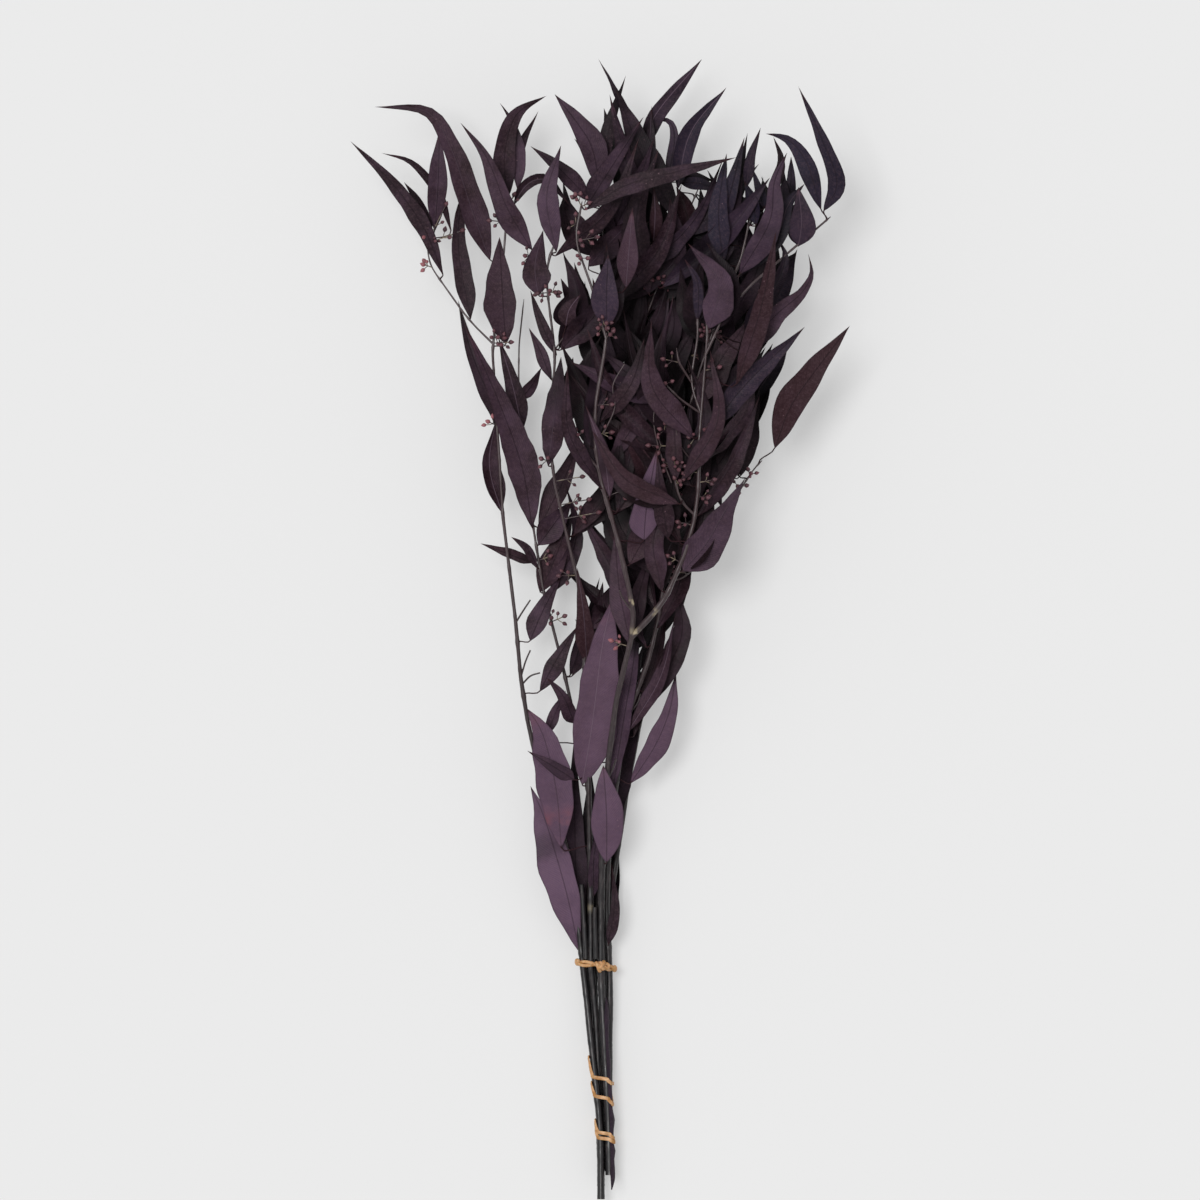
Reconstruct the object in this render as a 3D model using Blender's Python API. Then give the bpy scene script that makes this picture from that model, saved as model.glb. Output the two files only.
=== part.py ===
"""A bunch of preserved, plum-dyed seeded eucalyptus that lies on a table.

Six leafy stems run along +Y, from their cut ends to the leaf tips, and three rubber bands tie
them. Each stem is one closed solid: its wood, twigs, leaves and flower buds are joined. The
layout is in millimetres, and the meshes are in metres.
"""

import math
import random

import bmesh
import bpy
import numpy as np
from mathutils import Matrix, Vector
from mathutils.bvhtree import BVHTree

MM = 0.001
SEED = 41

# Leaves and buds, with shares of a length or width, and tilts in degrees
BLADE_THICKNESS = 1.0
KEEL_SHARE = 2 / 3
WIDEST_AT = 0.38
BLADE_STEPS = ((75, 5), (40, 4), (0, 3))
PETIOLE_RADIUS = 0.55
MIDRIB_ARCH = 3.0
LOWEST_MIDRIB = 1.6
LEAF_ROLL = 22
STALK_RADIUS = 0.45
BUD_RADIUS = 1.6
BUD_LENGTH = 4.4
BUD_BELOW = 0.4
BUD_RISE = (1.5, 5.0)
CLEARANCE = 0.35

# Wood
STEM_SIDES = 5
TWIG_SIDES = 4
STEM_LEAST_RADIUS = 1.2
TWIG_TIP_RADIUS = 0.6
SAMPLE_SPACING = 5.0
SEAT_SPACING = 3.0
SLACK = 0.5
FLOOR_GAP = 0.4

# Clean-up of joined meshes, in metres and degrees: shortest edge, and bends taken as flat
SHORT_EDGE = 2e-5
FLAT_ANGLES = (1.0, 0.4, 0.1, 0.0)

# Rubber bands: sizes, crossings in degrees, places along Y
BAND_WIDTH = 2.5
BAND_THICKNESS = 1.8
BAND_GAP = 0.45
BAND_POINTS = 20
CROSSING_GAP = 0.4
CROSSING_HALF = 66
CROSSING_FADE = 30
LOWER_BAND_Y = -309.0
SPIRAL_BAND_Y = -284.0
UPPER_BAND_Y = -209.0
UPPER_BAND_SLANT = 0.8
TWISTED_SECTION = (3.4, 2.4)
TWISTED_LIFT = 0.6
TWISTS = 3
KNOT_SIZE = (3.4, 3.2, 2.2)
KNOT_PROFILE = ((-0.8, 0.55), (-0.3, 0.95), (0.3, 0.95), (0.8, 0.55))
KNOT_SIDES = 6
KNOT_OFFSET = Vector((1.2, 0.0, 0.8))

# Centre lines of the stems, from the cut end to the tip: (radius at the cut, at the tip), points
STEMS = {
    "stem_left": ((2.3, 0.9), [
        (0.6, -353, 15), (0.3, -314, 15), (-2.6, -280, 15), (-7, -242, 14), (-10.5, -209, 12.5),
        (-18, -149, 17), (-27, -115, 21), (-37, -89, 25), (-43, -66, 28), (-49, -30, 34), (-52, 4, 38),
        (-60, 70, 43), (-65, 151, 48), (-66, 176, 50), (-60, 223, 49), (-57, 263, 47),
    ]),
    "stem_middle": ((2.4, 0.9), [
        (0.6, -345, 9.7), (0.3, -314, 9.7), (-0.4, -280, 9.9), (-2.4, -242, 12), (-5.5, -209, 15.5),
        (-6, -149, 21), (-7, -91, 29), (-8, -56, 34), (-12, 18, 43), (-21, 60, 48), (-30, 104, 53),
        (-29, 151, 57), (-28, 172, 58), (-33, 219, 60), (-26, 242, 60),
    ]),
    "stem_front": ((2.7, 1.0), [
        (5.9, -338, 15.2), (5.7, -314, 15.2), (4, -280, 15.6), (2, -242, 17), (0.5, -209, 17.5),
        (1, -149, 25), (4, -94, 38), (7, -66, 46), (11, -39, 53), (20, -1, 64), (19, 19, 69),
        (9, 63, 77), (-1, 99, 82), (-3, 134, 86), (3, 172, 88), (4, 182, 88),
    ]),
    "stem_right": ((2.4, 0.9), [
        (5.9, -335, 9.7), (5.7, -314, 9.7), (5.4, -280, 9.9), (5.6, -242, 11.2), (6, -209, 12.5),
        (4, -159, 17), (9, -103, 26), (18, -52, 36), (30, -19, 43), (39, 24, 50), (44, 77, 56),
        (55, 136, 60), (71, 188, 63), (87, 229, 64), (94, 266, 62),
    ]),
    "stem_back": ((2.2, 0.9), [
        (0.6, -340, 3.9), (0.3, -314, 3.9), (-1, -280, 4.4), (-2.5, -242, 5.6), (-3.4, -209, 6.5),
        (1, -149, 10), (11, -87, 14), (21, -19, 20), (28, 55, 26), (28, 130, 31), (25, 204, 37),
        (31, 272, 42),
    ]),
    "stem_back_right": ((2.2, 0.9), [
        (5.9, -333, 3.9), (5.7, -314, 3.9), (4.6, -280, 4.4), (3.4, -242, 5.6), (2.6, -209, 6.5),
        (9, -149, 9), (19, -87, 13), (34, -16, 17), (55, 52, 21), (76, 120, 25), (94, 188, 29),
        (109, 247, 35), (115, 269, 37),
    ]),
}

# Side twigs: radius at the root, points from inside the stem or twig that carries them
TWIGS = {
    "stem_left": [
        (0.9, [(-66, 175, 50), (-81, 191, 49), (-99, 216, 47), (-105, 226, 46), (-107, 241, 45)]),
    ],
    "stem_middle": [
        (1.5, [(-6.5, -106, 27), (-12, -72, 27), (-24, -19, 31), (-36, 29, 35), (-45, 92, 37),
               (-50, 148, 36), (-50, 176, 36), (-47, 204, 37)]),
        (0.7, [(-33, 219, 60), (-37, 225, 61), (-45, 231, 61)]),
        (0.7, [(-28, 172, 58), (-24, 177, 57), (-21, 182, 56)]),
    ],
    "stem_front": [
        (1.9, [(20, -3, 63), (32, 9, 68), (42, 23, 71), (54, 52, 76), (60, 80, 79), (61, 117, 81),
               (65, 169, 83), (66, 185, 83), (64, 201, 82)]),
        (0.9, [(65, 172, 83), (77, 195, 80), (83, 203, 79), (85, 218, 78)]),
        (0.8, [(77, 195, 80), (94, 213, 78), (113, 229, 74), (131, 245, 70), (142, 254, 68)]),
        (0.7, [(61, 130, 81), (48, 141, 85), (39, 152, 86)]),
        (0.8, [(60, 134, 81), (56, 152, 78), (60, 179, 77), (60, 206, 75)]),
        (0.7, [(56, 151, 78), (48, 164, 82), (47, 173, 83)]),
        (0.7, [(-1, 97, 81.5), (-11, 110, 84), (-14, 117, 84)]),
        (0.8, [(58, 69, 78), (48, 82, 81), (43, 117, 83), (32, 154, 85), (25, 172, 85)]),
        (0.8, [(4, 176, 87), (-5, 210, 86), (-14, 235, 84), (-14, 250, 83), (-11, 263, 82)]),
    ],
    "stem_right": [
        (1.0, [(40, 27, 50.5), (56, 35, 50), (77, 71, 51), (95, 99, 53), (100, 104, 53)]),
    ],
    "stem_back": [
        (0.9, [(28, 123, 30.5), (9, 173, 35), (2, 235, 42), (3, 260, 44)]),
        (0.9, [(25, 185, 35.5), (45, 235, 43), (62, 275, 46)]),
    ],
    "stem_back_right": [
        (0.9, [(71, 105, 24), (56, 154, 30), (53, 185, 33), (56, 216, 36)]),
        (0.8, [(90, 172, 28), (102, 185, 29), (115, 204, 31)]),
    ],
}

# Leaves that stand out: width, rise from base to tip, points of the midrib from base to tip
LEAVES = {
    "stem_left": [
        (9, 6, [(-97, 219), (-109, 248), (-129, 276), (-154, 301)]),
        (7, -2, [(-105, 244), (-111, 262), (-121, 276)]),
        (5, -6, [(-92, 246), (-99, 268), (-116, 288), (-135, 294)]),
        (11, 2, [(-102, 246), (-100, 275), (-99, 308)]),
        (10, -8, [(-80, 192), (-87, 228), (-87, 257), (-78, 283)]),
        (14, 8, [(-68, 228), (-79, 259), (-92, 297), (-107, 319), (-139, 322)]),
        (12, 4, [(-57, 266), (-59, 291), (-52, 317), (-33, 329)]),
        (7, -4, [(-51, 272), (-50, 297), (-55, 314), (-62, 325)]),
        (6, -8, [(-56, 275), (-49, 298), (-38, 320)]),
        (17, -7, [(-58, 176), (-60, 204), (-62, 242)]),
        (6, -3, [(-53, 262), (-45, 274), (-33, 277), (-19, 262)]),
        (12, -6, [(-61, 73), (-68, 102), (-64, 130)]),
        (17, 11, [(-13, -199), (-21, -162), (-34, -118), (-43, -97)]),
        (12, -6, [(-43, -7), (-35, 12), (-24, 33)]),
        (11, -4, [(-37, -38), (-27, -19), (-14, 2)]),
    ],
    "stem_middle": [
        (13, 9, [(-42, 234), (-57, 259), (-70, 291), (-86, 312)]),
        (11, -3, [(-48, 123), (-54, 151), (-63, 181)]),
        (6, -4, [(-42, 41), (-58, 47), (-74, 53)]),
        (5, 4, [(-39, 38), (-45, 50), (-55, 57)]),
        (17, 14, [(-42, 63), (-48, 99), (-62, 139), (-84, 189)]),
        (9, 10, [(-16, -93), (-30, -84), (-45, -75)]),
        (9, 4, [(-4, -165), (-4, -142), (0, -115)]),
        (25, 26, [(-11, -96), (-5, -60), (1, -13), (8, 20)]),
        (9, 10, [(-16, -58), (-23, -41), (-33, -30)]),
        (12, 8, [(-8, -21), (-10, 9), (-14, 38)]),
        (16, -6, [(-37, 23), (-27, 46), (-17, 73)]),
        (7, -4, [(-33, -66), (-27, -50), (-21, -38)]),
        (14, -4, [(-38, 52), (-29, 64), (-17, 80)]),
        (14, 9, [(-32, 101), (-29, 126), (-24, 168)]),
        (12, 8, [(-22, 130), (-12, 157), (1, 181)]),
        (7, -5, [(-30, 154), (-37, 172), (-44, 186)]),
        (7, -8, [(-49, 142), (-42, 151), (-36, 162)]),
        (6, -4, [(-27, 169), (-36, 188), (-43, 209)]),
        (15, -5, [(-38, 206), (-40, 224), (-35, 246)]),
        (11, 3, [(-21, 187), (-19, 197), (-12, 206)]),
        (12, 8, [(-27, 233), (-33, 266), (-24, 298)]),
        (20, 10, [(-24, -135), (-27, -100), (-35, -66), (-45, -49)]),
    ],
    "stem_front": [
        (19, 8, [(4, -144), (4, -115), (2, -84)]),
        (12, -9, [(19, -10), (12, 24), (9, 61)]),
        (21, 4, [(51, 36), (65, 52), (76, 71), (90, 94)]),
        (12, 12, [(27, 55), (29, 77), (35, 111)]),
        (11, 9, [(42, 56), (38, 77), (35, 108)]),
        (8, 6, [(6, 81), (2, 108), (-9, 138)]),
        (8, -6, [(11, 73), (19, 111), (19, 138)]),
        (9, -5, [(47, 92), (46, 117), (42, 145)]),
        (14, -6, [(60, 139), (73, 164), (91, 190)]),
        (12, 2, [(67, 122), (90, 151), (126, 186)]),
        (15, 8, [(4, 185), (4, 206), (5, 230)]),
        (10, 9, [(138, 258), (146, 275), (136, 303), (122, 334)]),
        (10, 3, [(136, 259), (127, 288), (115, 302), (102, 305)]),
        (14, 9, [(122, 236), (124, 250), (122, 272)]),
        (13, 12, [(86, 219), (104, 250), (107, 275), (115, 293)]),
        (16, 10, [(67, 185), (73, 213), (54, 237)]),
        (6, -4, [(60, 190), (60, 213), (52, 228)]),
        (11, 8, [(16, 210), (18, 235), (20, 259)]),
        (12, 12, [(84, 151), (99, 198), (108, 244)]),
        (12, -3, [(90, 172), (108, 193), (124, 207), (130, 219), (128, 231)]),
        (10, 6, [(-9, 258), (16, 273), (46, 281), (84, 290)]),
    ],
    "stem_right": [
        (7, -4, [(5, -195), (9, -171), (7, -144)]),
        (12, -8, [(8, -100), (14, -60), (21, -19), (25, 18)]),
        (11, -6, [(21, -66), (31, -32), (38, -1), (42, 37)]),
        (14, 4, [(36, -42), (45, -19), (51, -1), (48, 25)]),
        (14, 8, [(19, -95), (34, -72), (43, -50), (47, -27)]),
        (16, 3, [(108, 112), (117, 136), (131, 157), (154, 187)]),
        (12, 6, [(76, 226), (73, 257), (78, 293)]),
        (6, 3, [(90, 272), (93, 291), (99, 309)]),
        (8, -4, [(96, 249), (94, 263), (89, 276)]),
        (6, -2, [(101, 260), (97, 273), (93, 286)]),
        (9, 12, [(72, 240), (80, 268), (89, 303)]),
    ],
    "stem_back": [
        (10, 6, [(-6, 264), (-24, 283), (-43, 298)]),
        (11, 14, [(-7, 263), (9, 288), (27, 316)]),
        (14, 8, [(0, 272), (-5, 297), (-14, 312), (-28, 330)]),
        (4, -3, [(-2, 281), (-8, 293), (-16, 303)]),
        (7, 4, [(25, 278), (19, 309), (9, 333), (-1, 352)]),
        (8, -4, [(2, 283), (6, 309), (16, 342)]),
        (12, 8, [(24, 247), (29, 278), (32, 323)]),
        (9, 2, [(25, 291), (34, 317), (63, 352)]),
        (11, 8, [(48, 272), (56, 306), (78, 334)]),
        (6, -3, [(42, 278), (46, 303), (42, 314), (31, 314)]),
        (7, 12, [(76, 260), (86, 281), (91, 306)]),
        (12, -6, [(63, 228), (64, 250), (62, 273)]),
        (11, -2, [(56, 244), (52, 260), (47, 273)]),
        (14, 14, [(43, 218), (46, 241), (43, 266)]),
        (7, 6, [(33, 239), (34, 257), (33, 273)]),
        (10, 10, [(-7, 242), (2, 254), (17, 272)]),
        (14, 4, [(-7, 224), (6, 238), (25, 257)]),
        (7, 9, [(49, 276), (62, 275), (76, 269)]),
        (11, 4, [(7, 123), (20, 164), (31, 204)]),
        (12, 8, [(30, 172), (37, 188), (43, 205)]),
        (10, -3, [(0, -81), (2, -44), (11, -7)]),
    ],
    "stem_back_right": [
        (12, 6, [(96, 145), (107, 161), (117, 179)]),
        (15, 2, [(87, 95), (90, 120), (99, 151)]),
        (9, 6, [(67, 95), (76, 114), (85, 133)]),
        (6, 6, [(105, 266), (112, 288), (107, 304)]),
        (12, 3, [(104, 193), (113, 213), (122, 235)]),
        (10, 4, [(108, 246), (113, 262), (114, 282)]),
        (12, 6, [(96, 205), (103, 228), (112, 246)]),
        (6, 2, [(116, 258), (118, 276), (118, 292)]),
    ],
}

# The two low leaves that the head rests on: width and full midrib points
RESTING_LEAVES = {
    "stem_middle": (14, [
        (-46, 106, 36), (-58, 128, 22), (-72, 152, 6), (-82, 178, 0.3), (-88, 204, 0.3),
    ]),
    "stem_back_right": (14, [
        (90, 168, 26), (97, 184, 14), (104, 204, 2), (108, 226, 0.3), (111, 250, 0.3),
    ]),
}

# Flower buds, each at the end of a stalk from the nearest wood
BUDS = {
    "stem_left": [(-108, 246), (-103, 241), (-109, 225), (-95, 262), (-85, 246), (-68, 252),
                  (-53, 268), (-63, 180), (-55, 177), (-69, 128)],
    "stem_middle": [(-46, 230), (-36, 105), (-11, 94), (-7, 80), (-1, 72), (-31, 45), (-25, 33),
                    (-30, 7), (-22, 8)],
    "stem_front": [(7, -7), (-15, 267), (-7, 262), (-17, 250), (-12, 239), (-2, 241), (-12, 228),
                   (-1, 185), (4, 188), (8, 183), (-15, 122), (7, 138), (7, 121), (22, 88), (30, 113),
                   (39, 166), (40, 151), (42, 136), (37, 123), (66, 123), (55, 118), (73, 161),
                   (49, 91), (54, 97), (70, 92), (66, 81), (48, 66), (42, 45)],
    "stem_right": [(85, 88), (93, 96)],
}

# Leaves and buds set by rule along the wood of a stem: spacing of leaves, range of y, groups of buds
FILL = {
    "stem_middle": (27, -60, 340, 1),
    "stem_front": (16, 10, 195, 1),
    "stem_right": (11, -70, 235, 3),
    "stem_back": (9, -60, 340, 3),
    "stem_back_right": (10, -40, 340, 3),
}
FILL_LENGTH = (52, 96)
FILL_WIDTH = (9, 16)
FILL_SPREAD = (16, 48)
FILL_BEND = 22
FILL_RISE = 14
FILL_ROLL = 32
PETIOLE_REACH = 6
BUD_GROUP = (-50, 0, 50)
BUD_REACH = (6, 9)

# Outline that these leaves stay in: y, lowest x, highest x
OUTLINE = [(-230, -7, 6), (-106, -25, 18), (-44, -32, 42), (49, -37, 62), (111, -24, 88),
           (173, -26, 112), (235, -30, 126), (266, -26, 138), (287, -24, 130), (299, -18, 66),
           (334, 5, 44)]

# Ways in which a leaf or bud moves to get clear of the others: lift in mm, roll in degrees
LIFTS = (0, 5, -5, 10, -10, 15, -15, 21, -21, 28, -28, 35)
ROLLS = (0, 16, -16)

LEAF_COLOURS = {
    "stem_left": (0.040, 0.024, 0.034),
    "stem_middle": (0.060, 0.038, 0.052),
    "stem_front": (0.055, 0.032, 0.048),
    "stem_right": (0.048, 0.026, 0.038),
    "stem_back": (0.036, 0.024, 0.036),
    "stem_back_right": (0.034, 0.022, 0.030),
}
BAND_COLOUR = (0.56, 0.32, 0.13)


def smooth(points, spacing):
    """Points about spacing apart on a Catmull-Rom curve through the given ones."""
    knots = [Vector(point) for point in points]
    knots = [2 * knots[0] - knots[1]] + knots + [2 * knots[-1] - knots[-2]]
    line = [knots[1]]
    for a, b, c, d in zip(knots, knots[1:], knots[2:], knots[3:]):
        steps = max(1, round((c - b).length / spacing))
        for step in range(1, steps + 1):
            t = step / steps
            square = (2 * a - 5 * b + 4 * c - d) * t ** 2
            cube = (3 * b - a - 3 * c + d) * t ** 3
            line.append(0.5 * (2 * b + (c - a) * t + square + cube))
    return line


def lengths(line):
    """Distance along a line to each of its points."""
    total = [0.0]
    for a, b in zip(line, line[1:]):
        total.append(total[-1] + (b - a).length)
    return total


def resample(line, fractions):
    """Points at the given fractions of a line's length."""
    total = lengths(line)
    points = []
    for fraction in fractions:
        distance = fraction * total[-1]
        i = 1
        while i < len(line) - 1 and total[i] < distance:
            i += 1
        t = (distance - total[i - 1]) / max(total[i] - total[i - 1], 1e-9)
        points.append(line[i - 1].lerp(line[i], t))
    return points


class Wood:
    """A stem or twig: its node, centre line and radius at each point."""

    def __init__(self, node, points, radii):
        self.node = node
        self.line = smooth(points, SAMPLE_SPACING)
        total = lengths(self.line)
        root, tip = radii
        self.radii = [root + (tip - root) * along / total[-1] for along in total]


def settle(woods, rounds=160):
    """Bend the wood of different nodes clear of each other and of the table."""
    places = np.array([tuple(p) for wood in woods for p in wood.line], dtype=float)
    radii = np.array([r for wood in woods for r in wood.radii])
    nodes = np.array([i for i, wood in enumerate(woods) for _ in wood.line])
    names = [wood.node for wood in woods]
    owner = np.array([names.index(names[i]) for i in nodes])
    room = radii[:, None] + radii[None, :] + CLEARANCE + 0.1
    foreign = owner[:, None] != owner[None, :]
    inner = (nodes[1:-1] == nodes[:-2]) & (nodes[1:-1] == nodes[2:])
    for _ in range(rounds):
        apart = places[:, None, :] - places[None, :, :]
        distance = np.sqrt((apart ** 2).sum(axis=2)) + 1e-9
        lack = np.where(foreign, np.maximum(room - distance, 0.0), 0.0)
        push = (apart * (0.35 * lack / distance)[:, :, None]).sum(axis=1)
        push[:, 1] = 0.0
        soft = push.copy()
        blend = 0.25 * push[:-2] + 0.5 * push[1:-1] + 0.25 * push[2:]
        soft[1:-1][inner] = blend[inner]
        places += soft
        places[:, 2] = np.maximum(places[:, 2], radii + FLOOR_GAP)
    start = 0
    for wood in woods:
        wood.line = [Vector(p) for p in places[start:start + len(wood.line)]]
        start += len(wood.line)


def straighten(line, slack):
    """Fewest points of a line that it stays within the slack of."""
    first, last = line[0], line[-1]
    chord = last - first
    best, worst = slack, None
    for i in range(1, len(line) - 1):
        t = (line[i] - first).dot(chord) / chord.length_squared
        away = (line[i] - first - chord * t).length
        if away > best:
            best, worst = away, i
    if worst is None:
        return [first, last]
    return straighten(line[:worst + 1], slack)[:-1] + straighten(line[worst:], slack)


def reseat(woods):
    """Bring each twig's root back onto the wood of its node that carries it."""
    for i, twig in enumerate(woods):
        carriers = [wood for wood in woods[:i] if wood.node == twig.node]
        if not carriers:
            continue
        seats = [point for wood in carriers for point in wood.line]
        seat = min(seats, key=lambda point: (point - twig.line[0]).length)
        shift = seat - twig.line[0]
        twig.line = [p + shift * max(0.0, 1 - k / 5) for k, p in enumerate(twig.line)]


def across(points, reference):
    """Tangent, side and normal at each point of a line."""
    frames = []
    last = len(points) - 1
    for i in range(len(points)):
        tangent = (points[min(i + 1, last)] - points[max(i - 1, 0)]).normalized()
        side = tangent.cross(reference).normalized()
        frames.append((tangent, side, side.cross(tangent)))
    return frames


def skin(rings, tip=None, closed=False):
    """Vertices and triangles of a closed surface over rings of points."""
    count = len(rings[0])
    verts = [point for ring in rings for point in ring]
    faces = []
    for i in range(len(rings) if closed else len(rings) - 1):
        here = i * count
        there = (i + 1) % len(rings) * count
        for k in range(count):
            n = (k + 1) % count
            a, b, c, d = here + k, here + n, there + n, there + k
            faces += [(a, b, c), (a, c, d)] if k % 2 == 0 else [(a, b, d), (b, c, d)]
    if not closed:
        faces += [(0, k + 1, k) for k in range(1, count - 1)]
        last = (len(rings) - 1) * count
        if tip is None:
            faces += [(last, last + k, last + k + 1) for k in range(1, count - 1)]
        else:
            verts.append(tip)
            faces += [(last + k, last + (k + 1) % count, len(verts) - 1) for k in range(count)]
    volume = sum(verts[a].dot(verts[b].cross(verts[c])) for a, b, c in faces)
    if volume < 0:
        faces = [(a, c, b) for a, b, c in faces]
    return verts, faces


def tube(points, radii, sides):
    """Closed tube along a line."""
    ends = (points[-1] - points[0]).normalized()
    reference = Vector((0, 0, 1)) if abs(ends.z) < 0.9 else Vector((1, 0, 0))
    turns = [2 * math.pi * k / sides for k in range(sides)]
    rings = []
    for point, radius, frame in zip(points, radii, across(points, reference)):
        side, normal = frame[1], frame[2]
        rings.append([point + radius * (side * math.cos(a) + normal * math.sin(a)) for a in turns])
    return skin(rings)


def wood_mesh(wood):
    """Stem or twig as a tube with a ring at each bend; its line then follows the tube."""
    root, tip = wood.radii[0], wood.radii[-1]
    bends = straighten(wood.line, SLACK)
    total = lengths(bends)
    radii = [root + (tip - root) * along / total[-1] for along in total]
    count = round(total[-1] / SEAT_SPACING)
    fractions = [i / count for i in range(count + 1)]
    wood.line = resample(bends, fractions)
    wood.radii = [root + (tip - root) * fraction for fraction in fractions]
    return tube(bends, radii, STEM_SIDES if root > STEM_LEAST_RADIUS else TWIG_SIDES)


def blade_width(t):
    """Width of a narrow leaf as a part of its greatest width."""
    return (t / WIDEST_AT) ** 0.75 * ((1 - t) / (1 - WIDEST_AT)) ** 1.22


def leaf_mesh(root, midrib, width, roll, margin=0.0, blade_only=False):
    """Closed leaf: a petiole from inside the wood, then a blade with a keel along its midrib."""
    length = lengths(midrib)[-1]
    steps = next(count for least, count in BLADE_STEPS if length > least)
    fractions = [(i / steps) ** 1.08 for i in range(steps + 1)]
    points = [root] + resample(midrib, fractions)
    rings = []
    for i, frame in enumerate(across(points, Vector((0, 0, 1)))[:-1]):
        spin = Matrix.Rotation(math.radians(roll if i > 1 else 0), 3, frame[0])
        side, normal = spin @ frame[1], spin @ frame[2]
        broad = width / 2 * blade_width(fractions[i - 1]) if i > 1 else PETIOLE_RADIUS
        side *= broad + margin
        top = points[i] + normal * (BLADE_THICKNESS * (1 - KEEL_SHARE) + margin / 2)
        keel = points[i] - normal * (BLADE_THICKNESS * KEEL_SHARE + margin)
        rings.append([top - side, top + side, keel])
    if blade_only:
        rings = rings[2:]
    return skin(rings, points[-1] + frame[0] * margin)


def rest_on_table(mesh):
    """The mesh with what lies below the table pressed flat onto it."""
    verts, faces = mesh
    return [Vector((p.x, p.y, max(p.z, 0.0))) for p in verts], faces


def bud_mesh(root, heart, margin=0.0):
    """Closed flower bud at the end of its stalk."""
    aim = (heart - root).normalized()
    reference = Vector((0, 0, 1)) if abs(aim.z) < 0.9 else Vector((1, 0, 0))
    base = heart - aim * BUD_LENGTH * BUD_BELOW
    rings = []
    for point, radius in ((root, STALK_RADIUS), (base, STALK_RADIUS), (heart, BUD_RADIUS)):
        side = aim.cross(reference).normalized() * (radius + margin)
        normal = side.cross(aim)
        rings.append([point - side, point + normal, point + side, point - normal])
    return skin(rings, heart + aim * (BUD_LENGTH * (1 - BUD_BELOW) + margin))


class Solid:
    """A placed mesh with what the search for clear places needs."""

    def __init__(self, node, mesh):
        self.node = node
        self.verts, self.faces = mesh
        self.tree = BVHTree.FromPolygons(self.verts, self.faces)
        self.low = [min(p[k] for p in self.verts) for k in range(3)]
        self.high = [max(p[k] for p in self.verts) for k in range(3)]

    def meets(self, other):
        """True where the two surfaces cross."""
        for k in range(3):
            if self.low[k] > other.high[k] or other.low[k] > self.high[k]:
                return False
        return bool(self.tree.overlap(other.tree))


class Bunch:
    """All solids placed so far."""

    def __init__(self):
        self.wood = []
        self.grown = []

    def score(self, trial, blade=None):
        """Solids of its own node that a trial crosses, or None where it crosses another node."""
        own = 0
        if trial.low[2] < FLOOR_GAP - CLEARANCE:
            return None
        for solid in self.wood:
            if solid.node != trial.node and trial.meets(solid):
                return None
            if blade and solid.node == trial.node and blade.meets(solid):
                own += 1
        for solid in self.grown:
            if trial.meets(solid):
                if solid.node != trial.node:
                    return None
                own += 1
        return own


def nearest(woods, place, aim):
    """Point of the wood that a leaf or bud at this place grows from."""
    def cost(point):
        away = Vector((point.x - place.x, point.y - place.y))
        return away.length + 1.6 * max(0.0, away.dot(aim))
    return min((point for wood in woods for point in wood.line[2:-1]), key=cost)


def midrib_of(route, root, rise, lift):
    """Midrib in space over its plan points."""
    plan = smooth([(x, y, 0) for x, y in route], 6)
    total = lengths(plan)
    line = []
    for point, along in zip(plan, total):
        t = along / total[-1]
        z = root.z + 0.35 * lift + (rise + 0.65 * lift) * t + MIDRIB_ARCH * math.sin(math.pi * t)
        line.append(Vector((point.x, point.y, max(z, LOWEST_MIDRIB))))
    return line


def place_leaf(bunch, woods, node, width, rise, route, roll):
    """Add a leaf where it is clear of the other nodes, and of its own leaves if it can be."""
    aim = Vector((route[1][0] - route[0][0], route[1][1] - route[0][1])).normalized()
    root = nearest(woods, Vector(route[0]), aim)
    best = None
    for lift in LIFTS:
        midrib = midrib_of(route, root, rise, lift)
        for turn in ROLLS:
            trial = Solid(node, leaf_mesh(root, midrib, width, roll + turn, CLEARANCE))
            blade = Solid(node, leaf_mesh(root, midrib, width, roll + turn, blade_only=True))
            own = bunch.score(trial, blade)
            if own is None or (best and best[0] <= own):
                continue
            best = (own, midrib, roll + turn)
            if own == 0:
                break
        if best and best[0] == 0:
            break
    if not best:
        return
    midrib, roll = best[1:]
    bunch.grown.append(Solid(node, leaf_mesh(root, midrib, width, roll)))


def place_bud(bunch, woods, node, place, rng):
    """Add a bud on its stalk where it is clear of the other nodes."""
    heart = Vector((place[0], place[1]))
    root = nearest(woods, heart, Vector((0, 1)))
    height = rng.uniform(*BUD_RISE)
    for lift in LIFTS:
        spot = Vector((heart.x, heart.y, root.z + height + 0.7 * lift))
        if (spot - root).length < BUD_LENGTH:
            continue
        if bunch.score(Solid(node, bud_mesh(root, spot, CLEARANCE))) is None:
            continue
        bunch.grown.append(Solid(node, bud_mesh(root, spot)))
        return


def inside(x, y):
    """True where the outline of the head has room."""
    for (y0, low0, high0), (y1, low1, high1) in zip(OUTLINE, OUTLINE[1:]):
        if y0 <= y <= y1:
            t = (y - y0) / (y1 - y0)
            return low0 + (low1 - low0) * t <= x <= high0 + (high1 - high0) * t
    return False


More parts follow.
